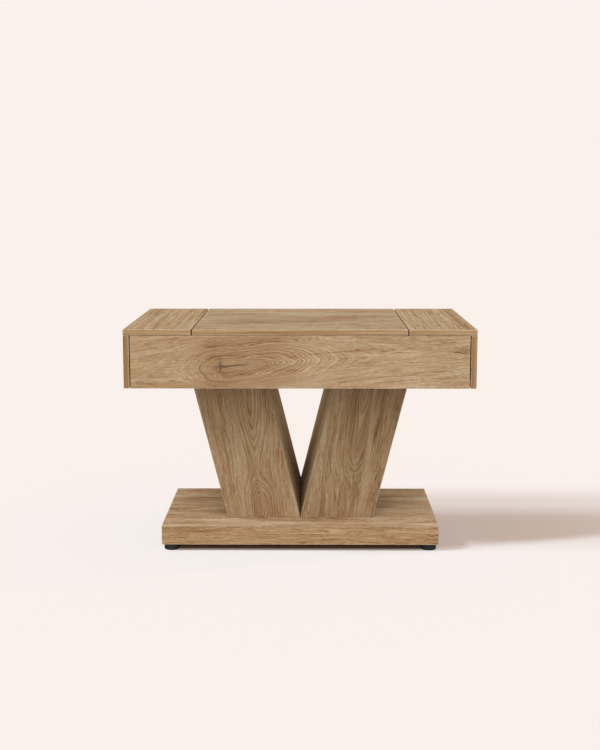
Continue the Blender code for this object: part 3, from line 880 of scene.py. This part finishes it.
class TABLE_OT_cabinet(bpy.types.Operator):
    """Finish the cabinet's walls, floor and dividers"""

    bl_idname = "coffee_table.cabinet"
    bl_label = "Cabinet Boards"

    grain_rise: FloatProperty(name="Grain rise", description="Slope of the front panel's grain", default=0.06)
    well_edge: length_property("Well edge", "Rounding of the bottom panel's edges", 0.0003)

    def execute(self, context):
        look = oak_look()
        fold = look.fold_radius
        front = Figure(
            seed=3.1,
            eyes=[(-0.175, -0.03, 0.353, 0.075), (-0.102, 0.006, 0.8, 0.205), (-0.417, -0.03, 0.18, 0.117)],
            rings=26,
            spacing=0.0028,
            roundness=2.0,
            light=0.36,
            shade=0.25,
            fine=0.9,
            dark=0.1,
            dark_ring=11,
            knot=(-0.203, 0.001, 0.009),
            cracks=[(-0.2, 0.001, 0.085), (0.389, 0.0, 0.045), (0.204, 0.0138, 0.024)],
        )
        back_eyes = [(0.16, 0.01, 1.0, 0.28), (-0.28, -0.02, 0.6, 0.2)]
        back = Figure(17.4, back_eyes, rings=11, light=0.25, dark=0.12)
        banded_board("front_panel", X, Z - X * self.grain_rise, front, radius=fold)
        banded_board("back_panel", X, Z, back, radius=fold)
        for side, sign in SIDES:
            wall = Figure(24.0 + sign * 3.4, [(sign * 0.07, 0.0, 0.9, 0.19)])
            banded_board(side + "_side_panel", Y, Z, wall, band_tint=look.wall_tint, radius=fold)
            divider = Figure(31.0 + sign * 3.3)
            banded_board(side + "_divider", Y, Z, divider, radius=fold)
        well_floor = Figure(40.2, [(0.1, 0.06, 0.9, 0.2)])
        folded_board("bottom_panel", X, Y, well_floor, self.well_edge)
        return {"FINISHED"}


class TABLE_OT_top(bpy.types.Operator):
    """Finish the lid and the fixed boards of the top"""

    bl_idname = "coffee_table.top"
    bl_label = "Top Boards"

    lid_fineness: amount_property("Lid fineness", "Fineness of the lid's grain beside other boards'", 0.7)
    fixed_fineness: amount_property(
        "Fixed fineness", "Fineness of the fixed boards' grain beside other boards'", 0.7
    )
    shortness: amount_property("Shortness", "Shortness of the fixed boards' streaks beside others'", 0.25)

    def execute(self, context):
        look = oak_look()
        lid = Figure(
            seed=8.3,
            eyes=[(-0.05, -0.03, 1.0, 0.22), (0.22, 0.05, 0.4, 0.16)],
            rings=10,
            spacing=0.0055,
            broad=0.8,
            shade=0.12,
            fine=1.15,
        )
        banded_board("lid_panel", X, Y * self.lid_fineness, lid, look.lid_tint, gloss=0.0, body="lid")
        along = Y * self.shortness
        across = X * self.fixed_fineness
        for side, sign in SIDES:
            fixed = Figure(11.0 + sign * 4.1, broad=0.5)
            banded_board(side + "_top_panel", along, across, fixed, look.top_tint, gloss=0.0)
        return {"FINISHED"}


class TABLE_OT_legs(bpy.types.Operator):
    """Finish the boards of the slanted legs and the blocks inside them"""

    bl_idname = "coffee_table.legs"
    bl_label = "Leg Boards"

    grain_lean: share_property("Grain lean", "Slant of the grain as a share of the leg's", 0.5)

    def execute(self, context):
        look = oak_look()
        front_eyes = {
            "left": [(-0.156, 0.024, 1.0, 0.06), (0.2, 0.03, 1.0, 0.22)],
            "right": [(0.2, 0.012, 1.0, 0.2), (-0.02, 0.006, 0.35, 0.07)],
        }
        back_eyes = [(0.04, -0.02, 0.9, 0.24)]
        for side, sign in SIDES:
            # The leg tints hold painted shade, darkest on the right leg.
            tint = getattr(look, side + "_leg")
            ends = (("front", 52.0, front_eyes[side], 0), ("back", 61.0, back_eyes, sign))
            for end, seed, eyes, twin_sign in ends:
                node = f"{side}_leg_{end}_board"
                across = Vector((1, 0, -self.slope(board_corners(node)) * self.grain_lean))
                figure = Figure(
                    seed + sign * 2.3, eyes, spacing=0.006, light=0.08, dark=0.25, broad=0.8, roundness=2.2
                )
                banded_board(node, Z, across, figure, tint, twin_sign=twin_sign)
            # Painted shade darkens the inner boards towards their foot, deep in the V.
            inner = Figure(70.0 + sign, painted_foot_shade=(-0.12, 0.1, 0.66))
            outer = Figure(80.0 + sign)
            # The inner boards take the painted-light tint.
            for face, figure, foil_tint in (("inner", inner, look.inner_leg_painted_light), ("outer", outer, tint)):
                node = f"{side}_leg_{face}_board"
                banded_board(node, Z, Y, figure, foil_tint, gloss=0.0)
            for end in ("top", "bottom"):
                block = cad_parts[f"{side}_leg_{end}_block"]
                block.data.materials.clear()
                block.data.materials.append(raw_board_finish())
        return {"FINISHED"}

    @staticmethod
    def slope(corners):
        """Sideways run of a leg board for each metre of its height."""
        low = min(corners.values(), key=lambda c: c.z).z
        high = max(corners.values(), key=lambda c: c.z).z
        foot = [c.x for c in corners.values() if c.z - low < SAME_LEVEL]
        head = [c.x for c in corners.values() if high - c.z < SAME_LEVEL]
        return (sum(head) / len(head) - sum(foot) / len(foot)) / (high - low)


class TABLE_OT_base(bpy.types.Operator):
    """Finish the mitred boards of the base"""

    bl_idname = "coffee_table.base"
    bl_label = "Base Boards"

    fineness: amount_property("Fineness", "Fineness of the upper board's grain beside other boards'", 0.6)

    def execute(self, context):
        look = oak_look()
        fold = look.fold_radius
        upper = Figure(91.0, [(0.24, -0.05, 0.5, 0.14)], broad=1.1)
        # The upper board takes the painted-light tint.
        folded_board("base_top_board", X, Y * self.fineness, upper, fold, look.base_painted_light)
        for end, sign in ENDS:
            folded_board(f"base_{end}_rail", X, Z, Figure(95.0 + sign, fine=1.2), fold, look.rail_tint)
        for side, sign in SIDES:
            folded_board(f"base_{side}_rail", Y, Z, Figure(101.0 + sign, fine=1.2), fold, look.rail_tint)
        node = "base_bottom_board"
        add_piece(node + "_finish", merged_copy(node), [raw_board_finish()], "frame", [node])
        return {"FINISHED"}


class TABLE_OT_feet(bpy.types.Operator):
    """Turn the black plastic feet"""

    bl_idname = "coffee_table.feet"
    bl_label = "Feet"

    rounding: length_property("Rounding", "Radius of the lower edge", 0.003)
    flange: length_property("Flange", "Height of the rim under the base", 0.0028)
    groove: length_property("Groove", "Depth of the groove under the rim", 0.0006)
    pad_recess: length_property("Pad recess", "Depth of the hollow in the underside", 0.0012)
    pad_floor: share_property("Pad floor", "Share of a foot's radius in the floor of the hollow", 0.42)
    pad_mouth: share_property("Pad mouth", "Share of a foot's radius in the mouth of the hollow", 0.47)

    def execute(self, context):
        for side, _ in SIDES:
            for end, _ in ENDS:
                self.turn_foot(f"{end}_{side}_foot")
        return {"FINISHED"}

    def turn_foot(self, node):
        low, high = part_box(node)
        radius = (high.x - low.x) / 2
        height = high.z - low.z
        rim = height - self.flange
        recess = self.pad_recess
        profile = [(0, recess), (radius * self.pad_floor, recess), (radius * self.pad_mouth, 0)]
        profile += arc((radius - self.rounding, self.rounding), self.rounding, -90, 0, EDGE_STEPS)
        profile += [
            (radius, rim - self.groove * 2),
            (radius - self.groove, rim - self.groove),
            (radius, rim),
            (radius, height - self.groove),
            (radius - self.groove, height),
            (0, height),
        ]
        centre = Vector(((low.x + high.x) / 2, (low.y + high.y) / 2, low.z))
        bm = lathe(profile, centre, Z, FOOT_STEPS)
        add_piece(node + "_finish", bm, [plastic_finish()], "frame", [node])


class TABLE_OT_lift_plates(bpy.types.Operator):
    """Finish the rails and arms of the lift mechanism"""

    bl_idname = "coffee_table.lift_plates"
    bl_label = "Lift Rails and Arms"

    def execute(self, context):
        bodies = {"base_rail": "frame", "lid_rail": "lid", "front_arm": "front_arms", "rear_arm": "rear_arms"}
        for side, _ in SIDES:
            for part, body in bodies.items():
                node = f"{side}_{part}"
                bm = merged_copy(node)
                round_edges(bm, fitting_look().plate_edge, 2, 0, least_angle=60)
                add_piece(node + "_finish", bm, [steel_finish()], body, [node])
        return {"FINISHED"}


class TABLE_OT_pins(bpy.types.Operator):
    """Turn the domed pivot pins"""

    bl_idname = "coffee_table.pins"
    bl_label = "Pivot Pins"

    head_height: length_property("Head height", "Height of a pin's domed head", 0.0016)
    chamfer: length_property("Chamfer", "Eased far end of a pin", 0.0005)

    def execute(self, context):
        for side, sign in SIDES:
            for end in ("front", "rear"):
                self.turn_pin(f"{side}_{end}_lower_pin", sign, "frame")
                self.turn_pin(f"{side}_{end}_upper_pin", sign, "lid")
        return {"FINISHED"}

    def turn_pin(self, node, sign, body):
        low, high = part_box(node)
        shank = fitting_look().pin_diameter / 2
        head = (high.z - low.z) / 2
        length = high.x - low.x
        dome = (head**2 + self.head_height**2) / (2 * self.head_height)
        rise = math.degrees(math.asin(head / dome))
        crown = [(r, dome + h) for r, h in arc((0, 0), dome, -90, -90 + rise, EDGE_STEPS)]
        profile = crown + [
            (shank, self.head_height),
            (shank, length - self.chamfer),
            (shank - self.chamfer, length),
            (0, length),
        ]
        inner = low.x if sign > 0 else high.x
        centre = Vector((inner, (low.y + high.y) / 2, (low.z + high.z) / 2))
        bm = lathe(profile, centre, X * sign, PIN_STEPS)
        add_piece(node + "_finish", bm, [zinc_finish()], body, [node])


class TABLE_OT_bolts(bpy.types.Operator):
    """Turn the leg bolts, with a hex socket in each head"""

    bl_idname = "coffee_table.bolts"
    bl_label = "Leg Bolts"

    socket_depth: length_property("Socket depth", "Depth of the hex socket", 0.0022)
    head_rounding: length_property("Head rounding", "Rounding of a head's upper edge", 0.0012)
    mouth_share: share_property("Mouth share", "Radius round a socket as a share of its width", 0.62)

    def execute(self, context):
        for side, _ in SIDES:
            for end, _ in ENDS:
                self.make_bolt(f"{side}_leg_top_{end}_bolt", -1)
                self.make_bolt(f"{side}_leg_bottom_{end}_bolt", 1)
        return {"FINISHED"}

    def make_bolt(self, node, way):
        """A bolt that points up (way 1) or down (way -1), its head at the other end."""
        look = fitting_look()
        low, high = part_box(node)
        head = (high.x - low.x) / 2
        length = high.z - low.z
        shank = look.bolt_diameter / 2
        mouth = look.socket_width * self.mouth_share
        edge = (head - self.head_rounding, self.head_rounding)
        rounding = arc(edge, self.head_rounding, -90, 0, BOLT_EDGE_STEPS)
        profile = [
            (mouth, 0),
            *rounding,
            (head, look.bolt_head),
            (shank, look.bolt_head),
            (shank, length - shank / 2),
            (shank / 2, length),
            (0, length),
        ]
        start = low.z if way > 0 else high.z
        centre = Vector(((low.x + high.x) / 2, (low.y + high.y) / 2, start))
        bm = lathe(profile, centre, Z * way, BOLT_STEPS)
        self.cut_socket(bm, centre, way)
        add_piece(node + "_finish", bm, [zinc_finish()], "frame", [node])

    def cut_socket(self, bm, centre, way):
        """Closes the open mouth of a head with a hex socket."""
        rim = [edge for edge in bm.edges if edge.is_boundary]
        reach = fitting_look().socket_width / math.sqrt(3)
        hexagon = []
        for i in range(HEX_SIDES):
            a = 2 * math.pi * i / HEX_SIDES
            hexagon.append(bm.verts.new(centre + Vector((reach * math.cos(a), reach * math.sin(a), 0))))
        mouth = [bm.edges.new((hexagon[i - 1], hexagon[i])) for i in range(HEX_SIDES)]
        bmesh.ops.bridge_loops(bm, edges=rim + mouth)
        walls = bmesh.ops.extrude_edge_only(bm, edges=mouth)["geom"]
        floor = [item for item in walls if isinstance(item, bmesh.types.BMVert)]
        bmesh.ops.translate(bm, verts=floor, vec=Z * way * self.socket_depth)
        rim = [item for item in walls if isinstance(item, bmesh.types.BMEdge) and item.is_boundary]
        bmesh.ops.contextual_create(bm, geom=rim)
        bmesh.ops.recalc_face_normals(bm, faces=bm.faces)


class TABLE_OT_springs(bpy.types.Operator):
    """Wind the lift springs"""

    bl_idname = "coffee_table.springs"
    bl_label = "Lift Springs"

    points_per_curl: IntProperty(
        name="Points per curl", description="Roundness of the curls", default=20, min=6
    )
    raised_share: FloatProperty(
        name="Raised share",
        description="Share of a spring's length left when the lid is up",
        default=0.7692,
        min=0.1,
        max=1,
    )

    def execute(self, context):
        for side, sign in SIDES:
            self.wind(side, sign)
        return {"FINISHED"}

    def wind(self, side, sign):
        look = fitting_look()
        node = side + "_lift_spring"
        low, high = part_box(node)
        half_wire = look.wire / 2
        inner = low.x if sign > 0 else high.x
        axis_x = inner + sign * (look.coil_radius + half_wire)
        axis_z = (low.z + high.z) / 2
        near = Vector((axis_x, low.y + half_wire, axis_z))
        far = Vector((axis_x, high.y - half_wire, axis_z))
        path = self.path(side, sign, near, far)
        curve = bpy.data.curves.new(node, "CURVE")
        curve.dimensions = "3D"
        curve.bevel_depth = half_wire
        curve.bevel_resolution = 3
        curve.use_fill_caps = True
        spline = curve.splines.new("POLY")
        spline.points.add(len(path) - 1)
        for target, point in zip(spline.points, path):
            target.co = (*point, 1)
        wire = bpy.data.objects.new(node + "_wire", curve)
        bpy.context.scene.collection.objects.link(wire)
        mesh = bpy.data.meshes.new_from_object(wire.evaluated_get(bpy.context.evaluated_depsgraph_get()))
        bpy.data.objects.remove(wire)
        mesh.materials.clear()
        mesh.materials.append(metal_finish("spring_steel", look.spring, 0.3))
        piece = add_mesh_piece(node + "_finish", mesh, "frame", [node], smooth=False)
        mesh.shade_smooth()
        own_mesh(piece)

    def path(self, side, sign, near, far):
        """Wire from the hook in the arm's ear, through the curls, to the hook in the base rail."""
        look = fitting_look()
        ends = {}
        for part in ("front_arm", "base_rail"):
            low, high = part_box(f"{side}_{part}")
            ends[part] = high.x if sign > 0 else low.x
        steps = look.curls * self.points_per_curl
        coil_length = far.y - near.y - 2 * look.hook_run

        def hook(corner, ahead, wire_end):
            points = [Vector((wire_end, corner.y, corner.z)), corner + X * sign * look.hook_bend]
            for i in range(1, HOOK_STEPS + 1):
                a = math.pi / 2 * i / HOOK_STEPS
                inward = sign * look.hook_bend * (1 - math.sin(a))
                points.append(corner + Vector((inward, look.hook_bend * (1 - math.cos(a)) * ahead, 0)))
            return points

        coil = []
        for i in range(steps + 1):
            turn = 2 * math.pi * i / self.points_per_curl
            ease = min(1, min(i, steps - i) / (self.points_per_curl / 2))
            radius = look.coil_radius * ease * ease * (3 - 2 * ease)
            along = look.hook_run + coil_length * i / steps
            coil.append(near + Vector((sign * radius * math.sin(turn), along, -radius * math.cos(turn))))
        start = hook(near, 1, ends["front_arm"])
        stop = hook(far, -1, ends["base_rail"])
        return start + coil + stop[::-1]


def screw_tree():
    """Geometry nodes that set a cross-recessed screw head on each point, along its facing."""
    known = bpy.data.node_groups.get("screw_heads")
    if known:
        return known
    tree = bpy.data.node_groups.new("screw_heads", "GeometryNodeTree")
    group_socket(tree, "Places", "Geometry")
    group_socket(tree, "Head Diameter", "Float")
    group_socket(tree, "Head Height", "Float")
    group_socket(tree, "Finish", "Material")
    group_socket(tree, "Screws", "Geometry", "OUTPUT")
    w = Wiring(tree)
    given = w.add("NodeGroupInput").outputs
    diameter = given["Head Diameter"]
    height = given["Head Height"]
    head = w.add("GeometryNodeMeshCone", {"Vertices": SCREW_SIDES, "Depth": height})
    w.put(head.inputs["Radius Bottom"], w.product(diameter, 0.5))
    w.put(head.inputs["Radius Top"], w.product(diameter, SCREW_TOP))
    cross = w.add("GeometryNodeMeshBoolean", operation="DIFFERENCE", solver="EXACT")
    w.put(cross.inputs["Mesh 1"], head.outputs["Mesh"])
    reach = w.product(diameter, CROSS_REACH)
    slit = w.product(diameter, CROSS_SLIT)
    for size in (w.join(reach, slit, height), w.join(slit, reach, height)):
        bar = w.add("GeometryNodeMeshCube", {"Size": size})
        lift = w.join(0.0, 0.0, height)
        moved = w.add("GeometryNodeTransform", {"Geometry": bar.outputs["Mesh"], "Translation": lift})
        w.put(cross.inputs["Mesh 2"], moved.outputs["Geometry"])
    facing = w.add("GeometryNodeInputNamedAttribute", {"Name": "facing"}, data_type="FLOAT_VECTOR")
    turn = w.add("FunctionNodeAlignRotationToVector", {"Vector": facing.outputs["Attribute"]}, axis="Z")
    heads = w.add("GeometryNodeInstanceOnPoints", {"Points": given["Places"]})
    w.put(heads.inputs["Instance"], cross.outputs["Mesh"])
    w.put(heads.inputs["Rotation"], turn.outputs["Rotation"])
    real = w.add("GeometryNodeRealizeInstances", {"Geometry": heads.outputs["Instances"]})
    coating = {"Geometry": real.outputs["Geometry"], "Material": given["Finish"]}
    coated = w.add("GeometryNodeSetMaterial", coating)
    w.put(w.add("NodeGroupOutput").inputs["Screws"], coated.outputs["Geometry"])
    return tree


def screws_at(name, places, body):
    """One piece with a screw head at each (point, facing)."""
    look = fitting_look()
    carrier_mesh = bpy.data.meshes.new(name + "_places")
    carrier_mesh.from_pydata([point for point, _ in places], [], [])
    facing = carrier_mesh.attributes.new("facing", "FLOAT_VECTOR", "POINT")
    for item, (_, direction) in zip(facing.data, places):
        item.vector = direction
    carrier = bpy.data.objects.new(name + "_places", carrier_mesh)
    bpy.context.scene.collection.objects.link(carrier)
    modifier = carrier.modifiers.new("screw_heads", "NODES")
    tree = screw_tree()
    modifier.node_group = tree
    values = {"Head Diameter": look.screw_head, "Head Height": look.screw_height, "Finish": zinc_finish()}
    for item in tree.interface.items_tree:
        if item.in_out == "INPUT" and item.name in values:
            modifier[item.identifier] = values[item.name]
    mesh = bpy.data.meshes.new_from_object(carrier.evaluated_get(bpy.context.evaluated_depsgraph_get()))
    carrier.modifiers.remove(modifier)
    bpy.data.objects.remove(carrier)
    if not mesh.polygons:
        raise RuntimeError(name + " has no screws")
    return add_mesh_piece(name, mesh, body, smooth=False)


class TABLE_OT_screws(bpy.types.Operator):
    """Set the screws that hold the rails to the dividers and to the lid"""

    bl_idname = "coffee_table.screws"
    bl_label = "Rail Screws"

    count: IntProperty(name="Screws", description="Screws in each rail", default=3, min=2)
    edge: length_property("Edge distance", "From a base rail's lower edge to its screws", 0.0065)
    end: length_property("End distance", "From a lid rail's ends to its screws", 0.013)
    inset: length_property("Inset", "From a lid rail's inner edge to its screws", 0.00975)
    sweep: length_property("Sweep", "Front stretch of a base rail that the arm's ear passes over", 0.07)
    hook_room: length_property("Hook room", "Back stretch of a base rail that the spring's hook takes", 0.03)

    def execute(self, context):
        base_places = []
        lid_places = []
        for side, sign in SIDES:
            low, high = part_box(side + "_base_rail")
            face = low.x if sign > 0 else high.x
            thickness = high.x - low.x
            for y in self.spread(low.y + self.sweep, high.y - self.hook_room):
                base_places.append((Vector((face, y, low.z + self.edge)), X * -sign))
            low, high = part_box(side + "_lid_rail")
            inner = low.x if sign > 0 else high.x
            for y in self.spread(low.y + self.end, high.y - self.end):
                lid_places.append((Vector((inner + sign * self.inset, y, high.z - thickness)), -Z))
        screws_at("base_rail_screws", base_places, "frame")
        screws_at("lid_rail_screws", lid_places, "lid")
        return {"FINISHED"}

    def spread(self, start, stop):
        return [start + (stop - start) * i / (self.count - 1) for i in range(self.count)]


class TABLE_OT_stage(bpy.types.Operator):
    """Set the pale floor, the lamps and the camera"""

    bl_idname = "coffee_table.stage"
    bl_label = "Stage"

    image_width: IntProperty(name="Image width", description="Pixels across the picture", default=600)
    image_height: IntProperty(name="Image height", description="Pixels down the picture", default=750)
    focal_pixels: FloatProperty(name="Focal length", description="In pixels of the picture", default=1210.3)
    camera_place: FloatVectorProperty(
        name="Camera", description="Place of the camera", default=(0.0182, -3.32022, 0.95175), unit="LENGTH"
    )
    pitch: angle_property("Pitch", "Tilt down", 8.7274)
    yaw: angle_property("Yaw", "Turn to the left", 0.3409)
    floor_size: length_property("Floor", "Side of the floor", 40.0)
    steady_floor: share_property("Steady floor", "Share of the floor's tone that the shadow leaves", 0.39)
    near_floor: length_property("Near floor", "Where the floor starts to turn to background", 0.62)
    far_floor: length_property("Far floor", "Where the floor is all background", 2.0)
    back_start: length_property("Back start", "Depth where the floor starts to rise to the backdrop", 0.1)
    back_end: length_property("Back end", "Depth where the floor has become backdrop", 0.3)
    back_share: share_property("Back share", "Share of the shadow that shows on the backdrop", 0.5)
    contact: length_property("Contact", "Depth under the base where its shadow is darkest", 0.032)
    contact_light: share_property("Contact light", "Share of the backdrop's tone in that shadow", 0.02)
    front_start: FloatProperty(
        name="Front start", description="Front end of the shadow beside the base", default=-0.2, unit="LENGTH"
    )
    front_slope: FloatProperty(
        name="Front slope", description="Slope of the shadow's front edge", default=0.3
    )
    front_blur: length_property("Front blur", "Softness of the shadow's front edge", 0.045)
    front_share: share_property("Front share", "Share of the shadow before its front edge", 0.3)
    side_way: direction_property("Side way", "Where the side lamp shines to", (1.2, 0.25, -1.0))
    low_way: direction_property("Low way", "Where the left low lamp shines to", (0.45, 1.0, -0.35))
    high_way: direction_property("High way", "Where the high lamp shines to", (0.12, 0.62, -1.0))
    side_softness: angle_property("Side softness", "Spread of the side lamp's light", 12)
    low_softness: angle_property("Low softness", "Spread of the low lamps' light", 35)
    high_softness: angle_property("High softness", "Spread of the high lamp's light", 60)

    def execute(self, context):
        context.scene.view_settings.view_transform = "Standard"
        floor = self.lay_floor()
        self.set_world(context.scene)
        self.set_lamps(floor)
        self.add_camera(context.scene)
        return {"FINISHED"}

    def set_lamps(self, floor):
        look = stage_look()
        table_only = self.receivers("table_only", floor, "EXCLUDE")
        floor_only = self.receivers("floor_only", floor, "INCLUDE")
        side = self.add_sun("side_lamp", look.side, Vector(self.side_way), self.side_softness, Z, floor_only)
        side.color = look.side_tint
        for name, sign in SIDES:
            way = Vector(self.low_way)
            way.x *= -sign
            self.add_sun(name + "_lamp", look.low, way, self.low_softness, -Y, table_only)
        self.add_sun("high_lamp", look.high, Vector(self.high_way), self.high_softness, Z, table_only)

    def lay_floor(self):
        half = self.floor_size / 2
        mesh = bpy.data.meshes.new("floor")
        corners = [(-half, -half, 0), (half, -half, 0), (half, half, 0), (-half, half, 0)]
        mesh.from_pydata(corners, [], [(0, 1, 2, 3)])
        floor = bpy.data.objects.new("floor", mesh)
        bpy.context.scene.collection.objects.link(floor)
        mesh.materials.append(self.floor_finish())
        return floor

    def floor_finish(self):
        """A pale floor that shows the table's shadow, melts into the backdrop and throws little light."""
        look = stage_look()
        material, w, shader = new_finish("pale_floor")
        levels = [look.ambient + look.side * part for part in look.side_tint]
        lit = [part / level for part, level in zip(look.floor, levels)]
        shader.inputs["Base Color"].default_value = solid(lit)
        shader.inputs["Roughness"].default_value = 0.9
        shader.inputs["Specular IOR Level"].default_value = 0.0
        backdrop = w.add("ShaderNodeEmission", {"Color": solid(look.floor), "Strength": 1.0})
        seen = w.add("ShaderNodeMixShader", {"Fac": self.backdrop_share(w)})
        w.put(seen.inputs[1], shader.outputs[0])
        w.put(seen.inputs[2], backdrop.outputs[0])
        bounce = [part / level for part, level in zip(look.floor_bounce, levels)]
        dim = w.add("ShaderNodeBsdfDiffuse", {"Color": solid(bounce)})
        blend = w.add("ShaderNodeMixShader", {"Fac": self.shown(w)})
        w.put(blend.inputs[1], dim.outputs[0])
        w.put(blend.inputs[2], seen.outputs[0])
        w.put(material.node_tree.nodes["Material Output"].inputs["Surface"], blend.outputs[0])
        return material

    def backdrop_share(self, w):
        """How far the floor is plain backdrop at a place, from almost 0 in the darkest shadow to 1."""
        place = object_place(w)
        x, y, _ = w.split(place)
        distance = w.add("ShaderNodeVectorMath", operation="LENGTH")
        w.put(distance.inputs[0], place)
        near = w.span(distance.outputs["Value"], self.near_floor, self.far_floor, 1 - self.steady_floor, 0.0)
        level = w.span(y, self.back_start, self.back_end, 1.0, self.back_share)
        low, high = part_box("base_front_rail")
        front_edge = w.math("MULTIPLY_ADD", w.less(x, high.x), self.front_slope, self.front_start)
        past_edge = w.less(y, front_edge)
        behind_edge = w.span(past_edge, -self.front_blur, self.front_blur, self.front_share, 1.0)
        past_side = w.less(w.math("ABSOLUTE", x), high.x)
        past_end = w.less(w.math("ABSOLUTE", y), -low.y)
        past_base = w.math("MAXIMUM", past_side, past_end)
        clear = w.span(past_base, -self.contact, 0.0, self.contact_light)
        return w.product(w.less(1.0, w.product(near, level, behind_edge)), clear)

    @staticmethod
    def shown(w):
        """1 for what the camera, a reflection or glass shows, 0 for light that falls on the table."""
        path = w.add("ShaderNodeLightPath").outputs
        mirrored = w.math("MAXIMUM", path["Is Glossy Ray"], path["Is Transmission Ray"])
        return w.math("MAXIMUM", path["Is Camera Ray"], mirrored)

    @staticmethod
    def receivers(name, floor, state):
        """What a lamp lights: everything but the floor, or the floor alone."""
        collection = bpy.data.collections.new(name)
        collection.objects.link(floor)
        collection.collection_objects[0].light_linking.link_state = state
        return collection

    def set_world(self, scene):
        look = stage_look()
        world = bpy.data.worlds.new("studio")
        world.use_nodes = True
        scene.world = world
        w = Wiring(world.node_tree)
        light = world.node_tree.nodes["Background"]
        light.inputs["Color"].default_value = solid(look.ambient_tint)
        light.inputs["Strength"].default_value = look.ambient
        backdrop = w.add("ShaderNodeBackground", {"Color": solid(look.floor), "Strength": 1.0})
        blend = w.add("ShaderNodeMixShader", {"Fac": self.shown(w)})
        w.put(blend.inputs[1], light.outputs[0])
        w.put(blend.inputs[2], backdrop.outputs[0])
        w.put(world.node_tree.nodes["World Output"].inputs["Surface"], blend.outputs[0])

    def add_sun(self, name, level, direction, softness, facing, receivers):
        """A wide, even lamp that brings a white surface with the given facing to a level."""
        lamp = bpy.data.lights.new(name, "SUN")
        lamp.energy = level * math.pi / abs(direction.normalized().dot(facing))
        lamp.angle = softness
        holder = bpy.data.objects.new(name, lamp)
        bpy.context.scene.collection.objects.link(holder)
        holder.location = direction * -LAMP_DISTANCE
        holder.rotation_euler = direction.to_track_quat("-Z", "Y").to_euler()
        holder.light_linking.receiver_collection = receivers
        return lamp

    def add_camera(self, scene):
        data = bpy.data.cameras.new("camera")
        data.sensor_fit = "AUTO"
        data.lens = self.focal_pixels * data.sensor_width / max(self.image_width, self.image_height)
        camera = bpy.data.objects.new("camera", data)
        scene.collection.objects.link(camera)
        camera.location = self.camera_place
        camera.rotation_euler = (math.pi / 2 - self.pitch, 0, self.yaw)
        scene.camera = camera


class TABLE_PT_looks(bpy.types.Panel):
    """Lists the table's pieces"""

    bl_idname = "TABLE_PT_looks"
    bl_label = "Coffee Table"
    bl_space_type = "VIEW_3D"
    bl_region_type = "UI"
    bl_category = "Table"

    def draw(self, context):
        for operator in OPERATORS:
            self.layout.operator(operator.bl_idname)
        for look in (oak_look(), fitting_look(), stage_look()):
            box = self.layout.box()
            for name in look.bl_rna.properties.keys():
                if name not in ("rna_type", "name"):
                    box.prop(look, name)


LOOKS = (("table_oak", OakLook), ("table_fittings", FittingLook), ("table_stage", StageLook))
OPERATORS = (
    TABLE_OT_cabinet,
    TABLE_OT_top,
    TABLE_OT_legs,
    TABLE_OT_base,
    TABLE_OT_feet,
    TABLE_OT_lift_plates,
    TABLE_OT_pins,
    TABLE_OT_bolts,
    TABLE_OT_springs,
    TABLE_OT_screws,
    TABLE_OT_stage,
)


def register():
    for name, look in LOOKS:
        bpy.utils.register_class(look)
        setattr(bpy.types.Scene, name, PointerProperty(type=look))
    for operator in OPERATORS:
        bpy.utils.register_class(operator)
    bpy.utils.register_class(TABLE_PT_looks)


def unregister():
    bpy.utils.unregister_class(TABLE_PT_looks)
    for operator in reversed(OPERATORS):
        bpy.utils.unregister_class(operator)
    for name, look in reversed(LOOKS):
        delattr(bpy.types.Scene, name)
        bpy.utils.unregister_class(look)


def main():
    register()
    for operator in OPERATORS:
        group, name = operator.bl_idname.split(".")
        getattr(getattr(bpy.ops, group), name)()


if __name__ == "__main__":
    main()
